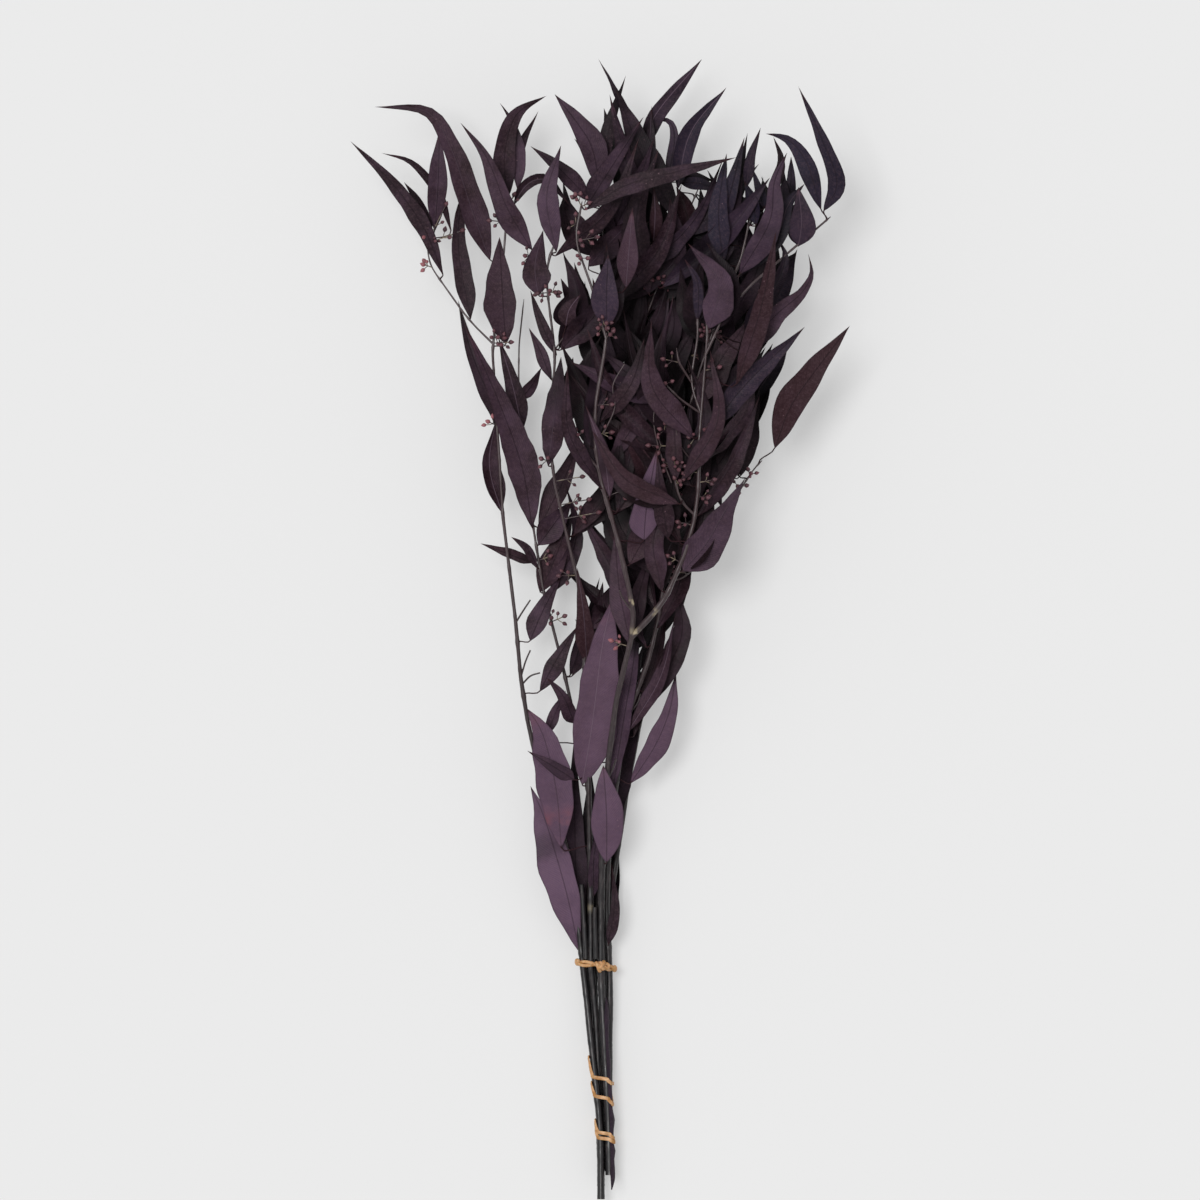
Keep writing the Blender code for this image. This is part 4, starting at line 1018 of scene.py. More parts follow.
class EucalyptusWoodSettings(PropertyGroup):
    """Sizes and colours of stems, twigs and stalks."""

    grain_depth: size("Bark relief", "Height of the ridges in the bark", 0.00012)
    grain_size: size("Bark grain", "Distance between the ridges in the bark", 0.0016)
    old_bark: colour("Old bark", "Bark at the cut ends", "0d0b0e")
    young_bark: colour("Young bark", "Bark of upper stems and twigs", "3d2d30")
    ridge: colour("Bark ridges", "Ridges where the dye has worn off", "6b5d5d")
    scar: colour("Leaf scars", "Pale corky flecks at the joints", "cdbd9c")
    pith: colour("Cut wood", "Wood at the cut ends", "5b4a44")
    sides: IntProperty(name="Sides", description="Sides of a stem's section", default=10, min=5, max=24)


class EucalyptusBudSettings(PropertyGroup):
    """Sizes and colours of the flower buds."""

    length: size("Bud length", "Length from the base to the point of the cap", 0.0039)
    radius: size("Bud radius", "Radius at the widest place", 0.00148)
    cup: colour("Cup", "Colour of the lower half", "3a252c")
    cap: colour("Cap", "Colour of the cap and its point", "643f48")
    pink: colour("Pink", "Colour of buds that took little dye", "a8686e")
    companions: IntProperty(
        name="Companions", description="Most further buds on the stalk of each bud", default=4,
        min=0, max=6)


class EucalyptusBandSettings(PropertyGroup):
    """Sizes and colours of the rubber bands."""

    width: size("Band width", "Width of the flat bands", 0.0022)
    thickness: size("Band thickness", "Thickness of the flat bands", 0.00085)
    strand_radius: size("Strand radius", "Radius of each strand of the twisted band", 0.00105)
    twists: IntProperty(
        name="Twists", description="Turns of the two strands about each other", default=12, min=1, max=30)
    latex: colour("Latex", "Colour of the rubber", "a8773f")
    worn: colour("Worn latex", "Colour where the rubber is stretched", "d9ac80")


class EucalyptusStageSettings(PropertyGroup):
    """Floor, lights and camera."""

    floor: colour("Floor", "Colour of the acrylic sheet", "b5b5b5")
    glow: FloatProperty(
        name="Glow", description="Light that comes up through the sheet", default=0.36, min=0)
    ambient: FloatProperty(
        name="Ambient", description="Strength of the light from all around", default=0.5, min=0)
    key: FloatProperty(name="Key", description="Strength of the soft key light", default=1.7, min=0)
    key_angle: FloatProperty(
        name="Key softness", description="Angle that the key light spans", min=0,
        default=math.radians(24), subtype="ANGLE", unit="ROTATION")
    camera_height: size("Camera height", "Height of the camera over the floor", 10.0)
    view_width: size("View width", "Width of the floor that the picture shows", 0.744)


def add(tree, kind, inputs=None, **settings):
    """Add a node; inputs maps a socket to an output, a node's first output, a colour or a value."""
    made = tree.nodes.new(kind)
    for name, value in settings.items():
        setattr(made, name, value)
    for key, value in (inputs or {}).items():
        if isinstance(value, bpy.types.Node):
            value = value.outputs[0]
        if isinstance(value, bpy.types.NodeSocket):
            tree.links.new(value, made.inputs[key])
        else:
            made.inputs[key].default_value = (*value, 1) if isinstance(value, Color) else value
    return made


def new_material(name, constants):
    """Material with its shader, whose plain sockets are set to constants."""
    material = bpy.data.materials.new(name)
    material.use_nodes = True
    tree = material.node_tree
    shader = tree.nodes["Principled BSDF"]
    for socket, value in constants.items():
        shader.inputs[socket].default_value = value
    return material, tree, shader


def paint(tree, body, layers):
    """Colour with others laid over it in turn, each by its share."""
    for share, tint in layers:
        body = add(tree, "ShaderNodeMix", {0: share, 6: body, 7: tint}, data_type="RGBA").outputs[2]
    return body


def finish_skin(tree, shader, body, clouds, roughness, strength, distance, height):
    """Give a shader its colour, a roughness that varies in clouds, and relief."""
    least, most = roughness
    rough = add(tree, "ShaderNodeMapRange", {0: clouds, 1: 0.3, 2: 0.7, 3: least, 4: most})
    bump = add(tree, "ShaderNodeBump", {"Strength": strength, "Distance": distance, "Height": height})
    tree.links.new(body, shader.inputs["Base Color"])
    tree.links.new(rough.outputs[0], shader.inputs["Roughness"])
    tree.links.new(bump.outputs[0], shader.inputs["Normal"])


def leaf_material(settings):
    """Preserved eucalyptus leaf: glycerine keeps it supple, with a satin, leathery skin over fine veins,
    and painted shade where other leaves lie over it.
    """
    material, tree, shader = new_material("glycerined_eucalyptus_leaf", {
        "Specular IOR Level": 0.15, "Sheen Weight": 0.02, "Sheen Roughness": 0.5,
        "Sheen Tint": (*settings.lilac, 1),
    })
    place = add(tree, "ShaderNodeTexCoord").outputs["Object"]
    blade, tone, shade_and_wear = (
        add(tree, "ShaderNodeAttribute", attribute_name=name).outputs["Vector"]
        for name in ("blade", "tone", "shade_and_wear"))
    across, along, half = add(tree, "ShaderNodeSeparateXYZ", {0: blade}).outputs
    lilac, slate, russet = add(tree, "ShaderNodeSeparateXYZ", {0: tone}).outputs
    # Painted shade where other leaves lie over a leaf, then its pale midrib and its dryness
    shade, pale, dry = add(tree, "ShaderNodeSeparateXYZ", {0: shade_and_wear}).outputs
    away = add(tree, "ShaderNodeMath", {0: across}, operation="ABSOLUTE")

    # Side veins leave the midrib at about 40 degrees and bend towards the tip
    wobble = add(tree, "ShaderNodeTexNoise", {"Vector": place, "Scale": 120.0, "Detail": 2.0})
    slant = add(tree, "ShaderNodeMath", {0: away, 1: -1.25, 2: along}, operation="MULTIPLY_ADD")
    bent = add(tree, "ShaderNodeMath", {0: wobble, 1: 0.0025, 2: slant}, operation="MULTIPLY_ADD")
    pitch = 2 * math.pi / settings.vein_spacing
    phase = add(tree, "ShaderNodeMath", {0: bent, 1: pitch}, operation="MULTIPLY")
    wave = add(tree, "ShaderNodeMath", {0: phase}, operation="SINE")
    veins = add(tree, "ShaderNodeMapRange", {0: wave, 1: 0.6, 2: 1.0}, interpolation_type="SMOOTHSTEP")
    midrib = add(tree, "ShaderNodeMapRange", {0: away, 1: 0.00012, 2: 0.00045, 3: 1.0, 4: 0.0},
                 interpolation_type="SMOOTHSTEP")
    inset = add(tree, "ShaderNodeMath", {0: half, 1: away}, operation="SUBTRACT")
    margin = add(tree, "ShaderNodeMapRange", {0: inset, 1: 0.0001, 2: 0.0009, 3: 1.0, 4: 0.0},
                 interpolation_type="SMOOTHSTEP")
    petiole = add(tree, "ShaderNodeMapRange", {0: half, 1: 0.0005, 2: 0.0012, 3: 1.0, 4: 0.0})

    # Dye: lilac in clouds, mottled, with faint dark veins, ribs and margins
    cloud = add(tree, "ShaderNodeTexNoise", {
        "Vector": place, "Scale": 55.0, "Detail": 5.0, "Roughness": 0.65,
    })
    bloom = add(tree, "ShaderNodeMath", {0: cloud, 1: 1.1, 2: -0.55}, operation="MULTIPLY_ADD")
    lit = add(tree, "ShaderNodeMath", {0: lilac, 1: bloom}, operation="ADD", use_clamp=True)
    pores = add(tree, "ShaderNodeTexNoise", {
        "Vector": place, "Scale": 560.0, "Detail": 4.0, "Roughness": 0.78,
    })
    mottle = add(tree, "ShaderNodeMapRange", {0: pores, 1: 0.45, 2: 0.72, 3: 0.0, 4: 0.15})
    line = add(tree, "ShaderNodeMath", {0: veins, 1: 0.13}, operation="MULTIPLY")
    rim = add(tree, "ShaderNodeMath", {0: margin, 1: 0.35}, operation="MULTIPLY")
    dark = add(tree, "ShaderNodeMath", {0: line, 1: rim}, operation="MAXIMUM")
    rib = paint(tree, settings.vein, [(pale, settings.pale_rib)])
    ribbed = add(tree, "ShaderNodeMath", {0: midrib, 1: 0.5}, operation="MULTIPLY")

    # Wear: dry patches in the clouds, and specks here and there
    patchy = add(tree, "ShaderNodeMapRange", {0: cloud, 1: 0.42, 2: 0.6})
    dried = add(tree, "ShaderNodeMath", {0: dry, 1: patchy}, operation="MULTIPLY")
    cells = add(tree, "ShaderNodeTexVoronoi", {"Vector": place, "Scale": 230.0})
    dots = add(tree, "ShaderNodeMapRange", {0: cells, 1: 0.06, 2: 0.11, 3: 0.5, 4: 0.0})
    patch = add(tree, "ShaderNodeTexNoise", {"Vector": place, "Scale": 30.0, "Detail": 1.0})
    where = add(tree, "ShaderNodeMapRange", {0: patch, 1: 0.5, 2: 0.66})
    specks = add(tree, "ShaderNodeMath", {0: dots, 1: where}, operation="MULTIPLY")

    # The last layer is the painted shade, towards the deep colour where other leaves lie over a leaf
    body = paint(tree, settings.plum, [
        (lit, settings.lilac), (slate, settings.slate), (russet, settings.russet),
        (mottle, settings.speck), (dark, settings.vein), (ribbed, rib), (dried, settings.dry),
        (petiole, settings.russet), (specks, settings.speck), (shade, settings.deep),
    ])

    # Skin: satin, a little rougher in the clouds, with raised veins and a leathery grain
    ribs = add(tree, "ShaderNodeMath", {0: midrib, 1: 2.0, 2: veins}, operation="MULTIPLY_ADD")
    height = add(tree, "ShaderNodeMath", {0: pores, 1: 1.4, 2: ribs}, operation="MULTIPLY_ADD")
    finish_skin(tree, shader, body, cloud, (0.4, 0.62), 0.7, 0.0002, height)
    return material


def bark_material(settings):
    """Young eucalyptus bark, steeped in dye: dull, ridged along the stem, with corky leaf scars."""
    material, tree, shader = new_material("dyed_eucalyptus_bark", {"Specular IOR Level": 0.6})
    place = add(tree, "ShaderNodeTexCoord").outputs["Object"]
    age = add(tree, "ShaderNodeAttribute", attribute_name="age").outputs["Vector"]
    young, scar, cut = add(tree, "ShaderNodeSeparateXYZ", {0: age}).outputs
    drawn = add(tree, "ShaderNodeMapping", {"Vector": place, "Scale": (1.0, 0.12, 1.0)})
    streak = add(tree, "ShaderNodeTexNoise", {
        "Vector": drawn, "Scale": 900.0, "Detail": 4.0, "Roughness": 0.65,
    })
    blotch = add(tree, "ShaderNodeTexNoise", {"Vector": place, "Scale": 130.0, "Detail": 3.0})
    ridge = add(tree, "ShaderNodeMapRange", {0: streak, 1: 0.5, 2: 0.72, 3: 0.0, 4: 0.35})
    flecks = add(tree, "ShaderNodeMapRange", {0: blotch, 1: 0.5, 2: 0.58})
    corky = add(tree, "ShaderNodeMath", {0: flecks, 1: scar}, operation="MULTIPLY")
    body = paint(tree, settings.old_bark, [
        (young, settings.young_bark), (ridge, settings.ridge), (corky, settings.scar), (cut, settings.pith),
    ])
    finish_skin(tree, shader, body, blotch, (0.26, 0.5), 0.4, 0.00015, streak)
    return material


def bud_material(settings):
    """Eucalyptus flower buds: a woody cup and a smoother, paler cap with a seam between them."""
    material, tree, shader = new_material("woody_flower_bud", {"Specular IOR Level": 0.4})
    place = add(tree, "ShaderNodeTexCoord").outputs["Object"]
    height = add(tree, "ShaderNodeAttribute", attribute_name="height").outputs["Fac"]
    blush = add(tree, "ShaderNodeAttribute", attribute_name="blush").outputs["Fac"]
    cap = add(tree, "ShaderNodeMapRange", {0: height, 1: 0.3, 2: 0.62}, interpolation_type="SMOOTHSTEP")
    grain = add(tree, "ShaderNodeTexNoise", {"Vector": place, "Scale": 700.0, "Detail": 3.0})
    tint = add(tree, "ShaderNodeTexNoise", {"Vector": place, "Scale": 60.0, "Detail": 1.0})
    mixed = add(tree, "ShaderNodeMapRange", {0: tint, 1: 0.35, 2: 0.65, 3: 0.35, 4: 1.0})
    share = add(tree, "ShaderNodeMath", {0: cap, 1: mixed}, operation="MULTIPLY")
    body = paint(tree, settings.cup, [(share, settings.cap), (blush, settings.pink)])
    finish_skin(tree, shader, body, grain, (0.4, 0.62), 0.4, 0.0001, grain)
    return material


def rubber_material(settings):
    """Natural rubber bands: dull tan latex, paler where it is stretched, with a trace of talc."""
    material, tree, shader = new_material("natural_rubber", {
        "Specular IOR Level": 0.45, "Subsurface Weight": 0.12, "Subsurface Scale": 0.001,
    })
    place = add(tree, "ShaderNodeTexCoord").outputs["Object"]
    cloud = add(tree, "ShaderNodeTexNoise", {"Vector": place, "Scale": 260.0, "Detail": 3.0})
    talc = add(tree, "ShaderNodeTexNoise", {"Vector": place, "Scale": 2400.0, "Detail": 2.0})
    share = add(tree, "ShaderNodeMapRange", {0: cloud, 1: 0.35, 2: 0.65})
    body = paint(tree, settings.latex, [(share, settings.worn)])
    finish_skin(tree, shader, body, talc, (0.42, 0.6), 0.3, 0.0001, talc)
    return material


def sheet_material(settings):
    """Opal acrylic sheet with a light below: it fills the shadows, so they stay faint and soft."""
    material, tree, shader = new_material("opal_acrylic_sheet", {
        "Specular IOR Level": 0.1, "Roughness": 0.95, "Emission Color": (1, 1, 1, 1),
        "Emission Strength": settings.glow,
    })
    place = add(tree, "ShaderNodeTexCoord").outputs["Object"]
    tooth = add(tree, "ShaderNodeTexNoise", {"Vector": place, "Scale": 900.0, "Detail": 2.0})
    share = add(tree, "ShaderNodeMapRange", {0: tooth, 1: 0.3, 2: 0.7, 3: 0.0, 4: 0.02})
    body = paint(tree, settings.floor, [(share, (0.5, 0.5, 0.5, 1))])
    tree.links.new(body, shader.inputs["Base Color"])
    return material


def new_tree(name, sockets):
    """Geometry Nodes tree with named inputs; gives the tree, its inputs and its output node."""
    tree = bpy.data.node_groups.new(name, "GeometryNodeTree")
    tree.interface.new_socket("Geometry", in_out="INPUT", socket_type="NodeSocketGeometry")
    for label, kind in sockets.items():
        tree.interface.new_socket(label, in_out="INPUT", socket_type=kind)
    tree.interface.new_socket("Geometry", in_out="OUTPUT", socket_type="NodeSocketGeometry")
    return tree, add(tree, "NodeGroupInput").outputs, add(tree, "NodeGroupOutput")


def close_tree(tree, given, output, geometry):
    """End a tree in real geometry with its material."""
    shaded = add(tree, "GeometryNodeSetShadeSmooth", {"Geometry": geometry})
    real = add(tree, "GeometryNodeRealizeInstances", {"Geometry": shaded})
    finished = add(tree, "GeometryNodeSetMaterial", {"Geometry": real, "Material": given["Material"]})
    tree.links.new(finished.outputs[0], output.inputs[0])
    return tree


def round_path_tree():
    """Round skin over lines, with a radius at each point and ridges of a given size and depth."""
    tree, given, output = new_tree("eucalyptus_round_path", {
        "Sides": "NodeSocketInt", "Grain size": "NodeSocketFloat", "Grain depth": "NodeSocketFloat",
        "Material": "NodeSocketMaterial",
    })
    radius = add(tree, "GeometryNodeInputNamedAttribute", {"Name": "radius"}, data_type="FLOAT")
    line = add(tree, "GeometryNodeMeshToCurve", {"Mesh": given["Geometry"]})
    ring = add(tree, "GeometryNodeCurvePrimitiveCircle", {"Resolution": given["Sides"], "Radius": 1.0})
    skinned = add(tree, "GeometryNodeCurveToMesh", {
        "Curve": line, "Profile Curve": ring, "Scale": radius, "Fill Caps": True,
    })
    pitch = add(tree, "ShaderNodeMath", {0: 1.0, 1: given["Grain size"]}, operation="DIVIDE")
    noise = add(tree, "ShaderNodeTexNoise", {
        "Vector": add(tree, "GeometryNodeInputPosition"), "Scale": pitch, "Detail": 2.0,
    })
    relief = add(tree, "ShaderNodeMath", {0: noise, 1: 0.5}, operation="SUBTRACT")
    depth = add(tree, "ShaderNodeMath", {0: relief, 1: given["Grain depth"]}, operation="MULTIPLY")
    shift = add(tree, "ShaderNodeVectorMath", {
        0: add(tree, "GeometryNodeInputNormal"), "Scale": depth,
    }, operation="SCALE")
    ridged = add(tree, "GeometryNodeSetPosition", {"Geometry": skinned, "Offset": shift})
    return close_tree(tree, given, output, ridged)


def flat_path_tree():
    """Flat band with rounded edges over a closed line with an outward side; it stays over the table."""
    tree, given, output = new_tree("rubber_flat_path", {
        "Width": "NodeSocketFloat", "Thickness": "NodeSocketFloat", "Material": "NodeSocketMaterial",
    })
    out = add(tree, "GeometryNodeInputNamedAttribute", {"Name": "out"}, data_type="FLOAT_VECTOR")
    line = add(tree, "GeometryNodeMeshToCurve", {"Mesh": given["Geometry"]})
    turned = add(tree, "GeometryNodeSetCurveNormal", {"Curve": line, "Normal": out}, mode="FREE")
    section = add(tree, "GeometryNodeCurvePrimitiveQuadrilateral", {
        "Width": given["Thickness"], "Height": given["Width"],
    }, mode="RECTANGLE")
    corner = add(tree, "ShaderNodeMath", {0: given["Thickness"], 1: 0.4}, operation="MULTIPLY")
    rounded = add(tree, "GeometryNodeFilletCurve", {"Curve": section, "Radius": corner, "Count": 3},
                  mode="POLY")
    skinned = add(tree, "GeometryNodeCurveToMesh", {"Curve": turned, "Profile Curve": rounded})
    place = add(tree, "GeometryNodeInputPosition")
    rest = add(tree, "ShaderNodeVectorMath", {0: place, 1: LOWEST_PLACE}, operation="MAXIMUM")
    laid = add(tree, "GeometryNodeSetPosition", {"Geometry": skinned, "Position": rest})
    return close_tree(tree, given, output, laid)


def bud_tree():
    """Flower bud on each point, turned along its stalk: a cup, a seam and a pointed cap."""
    tree, given, output = new_tree("eucalyptus_buds", {
        "Length": "NodeSocketFloat", "Radius": "NodeSocketFloat", "Sides": "NodeSocketInt",
        "Rings": "NodeSocketInt", "Material": "NodeSocketMaterial",
    })
    low, high = (
        add(tree, "ShaderNodeMath", {0: given["Length"], 1: share}, operation="MULTIPLY")
        for share in (-BUD_BELOW, 1 - BUD_BELOW))
    axis = add(tree, "GeometryNodeCurvePrimitiveLine", {
        "Start": add(tree, "ShaderNodeCombineXYZ", {2: low}),
        "End": add(tree, "ShaderNodeCombineXYZ", {2: high}),
    }, mode="POINTS")
    stations = add(tree, "GeometryNodeResampleCurve", {
        "Curve": axis, "Count": given["Rings"],
    }, mode="COUNT")
    factor = add(tree, "GeometryNodeSplineParameter").outputs["Factor"]
    marked = add(tree, "GeometryNodeStoreNamedAttribute", {
        "Geometry": stations, "Name": "height", "Value": factor,
    }, data_type="FLOAT", domain="POINT")
    profile = add(tree, "ShaderNodeFloatCurve", {"Value": factor})
    curve = profile.mapping.curves[0]
    for place, value in BUD_PROFILE[1:-1]:
        curve.points.new(place, value)
    curve.points[0].location = BUD_PROFILE[0]
    curve.points[-1].location = BUD_PROFILE[-1]
    profile.mapping.update()
    ring = add(tree, "GeometryNodeCurvePrimitiveCircle", {
        "Resolution": given["Sides"], "Radius": given["Radius"],
    })
    bud = add(tree, "GeometryNodeCurveToMesh", {
        "Curve": marked, "Profile Curve": ring, "Scale": profile, "Fill Caps": True,
    })
    aim = add(tree, "GeometryNodeInputNamedAttribute", {"Name": "aim"}, data_type="FLOAT_VECTOR")
    scale = add(tree, "GeometryNodeInputNamedAttribute", {"Name": "size"}, data_type="FLOAT")
    turn = add(tree, "FunctionNodeAlignRotationToVector", {"Vector": aim}, axis="Z")
    placed = add(tree, "GeometryNodeInstanceOnPoints", {
        "Points": given["Geometry"], "Instance": bud, "Rotation": turn, "Scale": scale,
    })
    return close_tree(tree, given, output, placed)


def make_mesh(name, verts, edges, faces, attributes):
    """Mesh in metres from a layout in millimetres, with values on its points."""
    mesh = bpy.data.meshes.new(name)
    mesh.from_pydata([tuple(vert * MM) for vert in verts], edges, faces)
    for label, values in attributes.items():
        vector = hasattr(values[0], "__len__")
        layer = mesh.attributes.new(label, "FLOAT_VECTOR" if vector else "FLOAT", "POINT")
        flat = [part for value in values for part in value] if vector else values
        layer.data.foreach_set("vector" if vector else "value", flat)
    return mesh


def new_object(name, mesh):
    """Object for a mesh, in the scene."""
    obj = bpy.data.objects.new(name, mesh)
    bpy.context.scene.collection.objects.link(obj)
    return obj


def apply_tree(obj, tree, values):
    """Run a tree over an object with named values, and keep the result as plain mesh."""
    modifier = obj.modifiers.new(tree.name, "NODES")
    modifier.node_group = tree
    for item in tree.interface.items_tree:
        if item.in_out == "INPUT" and item.name in values:
            modifier[item.identifier] = values[item.name]
    depsgraph = bpy.context.evaluated_depsgraph_get()
    mesh = bpy.data.meshes.new_from_object(
        obj.evaluated_get(depsgraph), preserve_all_data_layers=True, depsgraph=depsgraph)
    obj.modifiers.remove(modifier)
    obj.data = mesh


def lay_skin(obj, tree, skin_form, material):
    """Round skin over an object's lines: its sides, and the size and depth of its grain."""
    sides, grain_size, grain_depth = skin_form
    apply_tree(obj, tree, {
        "Sides": sides, "Grain size": grain_size, "Grain depth": grain_depth, "Material": material,
    })


def attach(obj, node):
    """Let a piece ride on the bunch in place of its solid."""
    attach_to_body(obj, "root")
    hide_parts(node)


def quad_skin(rings, tip=None):
    """Vertices and faces of a closed surface over rings of points, facing outwards."""
    count = len(rings[0])
    verts = [point for ring in rings for point in ring]
    faces = [tuple(reversed(range(count)))]
    for i in range(len(rings) - 1):
        here, there = i * count, (i + 1) * count
        for k in range(count):
            n = (k + 1) % count
            faces.append((here + k, here + n, there + n, there + k))
    last = (len(rings) - 1) * count
    if tip is None:
        faces.append(tuple(range(last, last + count)))
    else:
        verts.append(tip)
        faces += [(last + k, last + (k + 1) % count, len(verts) - 1) for k in range(count)]
    volume = sum(
        verts[face[0]].dot(verts[b].cross(verts[c])) for face in faces for b, c in zip(face[1:], face[2:]))
    if volume < 0:
        faces = [face[::-1] for face in faces]
    return verts, faces


def leaf_tone(node, mark, place, rng):
    """Weights of lilac, slate and russet for a leaf: set for those that stand out, else by its place."""
    if mark is not None and mark in TONES.get(node, {}):
        lilac, slate, russet = TONES[node][mark]
        return (lilac ** 2.2, slate, russet)
    blue = clamp((place.x - 55) / 90 + (place.y - 190) / 160) * rng.uniform(0.3, 1.0)
    middle = max(0.0, 1 - abs(place.y - 90) / 190)
    low = clamp((20 - place.y) / 160)
    lilac = rng.uniform(0.0, 0.5) ** 1.6 + 0.25 * low + 0.05 * blue
    return (lilac, blue, middle * rng.uniform(0.0, 0.6))


def under_leaves(leaves):
    """Further leaves close below the inner ones, which close the gaps deep inside the bunch; their marks
    give them painted shade.
    """
    rng = random.Random(SEED)
    extra = []
    for node, root, midrib, width, roll, _ in leaves:
        angle = rng.choice((-1, 1)) * rng.uniform(*DOUBLE_TURN)
        turn = Matrix.Rotation(math.radians(angle), 3, "Z")
        drop = rng.uniform(*DOUBLE_DROP)
        share = rng.uniform(*DOUBLE_LENGTH)
        line = []
        for k, point in enumerate(midrib):
            moved = root + turn @ ((point - root) * share)
            moved.z = max(moved.z - drop * (0.5 + 0.5 * k / (len(midrib) - 1)), LOWEST_MIDRIB)
            line.append(moved)
        base, tip = line[0], line[-1]
        crowded = tip.y > CROWDED[0] and tip.x < CROWDED[1]
        if base.y > LOWEST_DOUBLE and inside(base.x, base.y) and inside(tip.x, tip.y) and not crowded:
            extra.append((node, root, line, width * DOUBLE_WIDTH, -roll, DOUBLE))
    for node, mark, width, points in BACKING:
        line = smooth(points, 6)
        extra.append((node, line[0] + Vector((0, -4, 1)), line, width, 0, mark))
    return extra


def leaf_covers(leaves):
    """For each leaf, how many others lie over it at even steps from its base to its tip."""
    spots = np.array([(i, *point) for i, leaf in enumerate(leaves) for point in leaf[2]])
    covers = []
    for i, leaf in enumerate(leaves):
        others = spots[spots[:, 0] != i]
        counts = []
        for x, y, z in leaf[2]:
            near = np.hypot(others[:, 1] - x, others[:, 2] - y) < COVER_REACH
            counts.append(len(set(others[near & (others[:, 3] > z + COVER_GAP), 0])))
        covers.append(counts)
    return covers


def blade_share(t, peak, drawn):
    """Width of a blade as a part of its greatest: a short base, then a long drawn-out tip."""
    base = math.sin(math.pi / 2 * min(1.0, t / peak)) ** 0.8
    return base * (1 - max(0.0, (t - peak) / (1 - peak)) ** drawn) ** 1.1


def petiole_points(root, line):
    """Points of a petiole that leaves the wood upwards and turns into the blade."""
    reach = (line[0] - root).length
    rise = root + Vector((0, 0.35 * reach, 0))
    entry = line[0] - (line[1] - line[0]).normalized() * 0.4 * reach
    points = []
    for k in range(PETIOLE_ROWS):
        t = k / PETIOLE_ROWS
        s = 1 - t
        points.append(root * s ** 3 + rise * 3 * t * s ** 2 + entry * 3 * t ** 2 * s + line[0] * t ** 3)
    return points


def leaf_habit(node, mark, line, rng):
    """How a leaf grew: its folds, twists and waves, its form, and the pallor and dryness of its skin."""
    fold_chance, most_twist, most_curl = LOOSE if mark is None or mark < 0 else STEADY
    habit = SimpleNamespace(ripple=rng.uniform(*RIPPLE), wave=rng.uniform(*WAVE))
    habit.phases = rng.uniform(*PHASE), rng.uniform(*PHASE)
    habit.fold = rng.uniform(*SLIGHT_FOLD)
    if rng.random() < fold_chance:
        habit.fold = rng.uniform(*DEEP_FOLD)
    habit.twist = rng.uniform(-1, 1) * most_twist
    habit.curl = rng.uniform(-1, 1) * most_curl
    habit.lean = rng.uniform(-LEAN, LEAN)
    common = rng.uniform(*PEAK), rng.uniform(*DRAWN), LEAF_FULLNESS[line[0].y > 0]
    habit.peak, habit.drawn, habit.fullness = FORMS.get((node, mark), common)
    habit.pale = rng.random() ** 6
    if (node, mark) == PALE_RIBBED:
        habit.pale = 1.0
    habit.dry_tip = rng.uniform(*DRY_TIP) if rng.random() < DRY_CHANCE else 0.0
    habit.blemish = BLEMISH[2] if (node, mark) == BLEMISHED else 0.0
    return habit


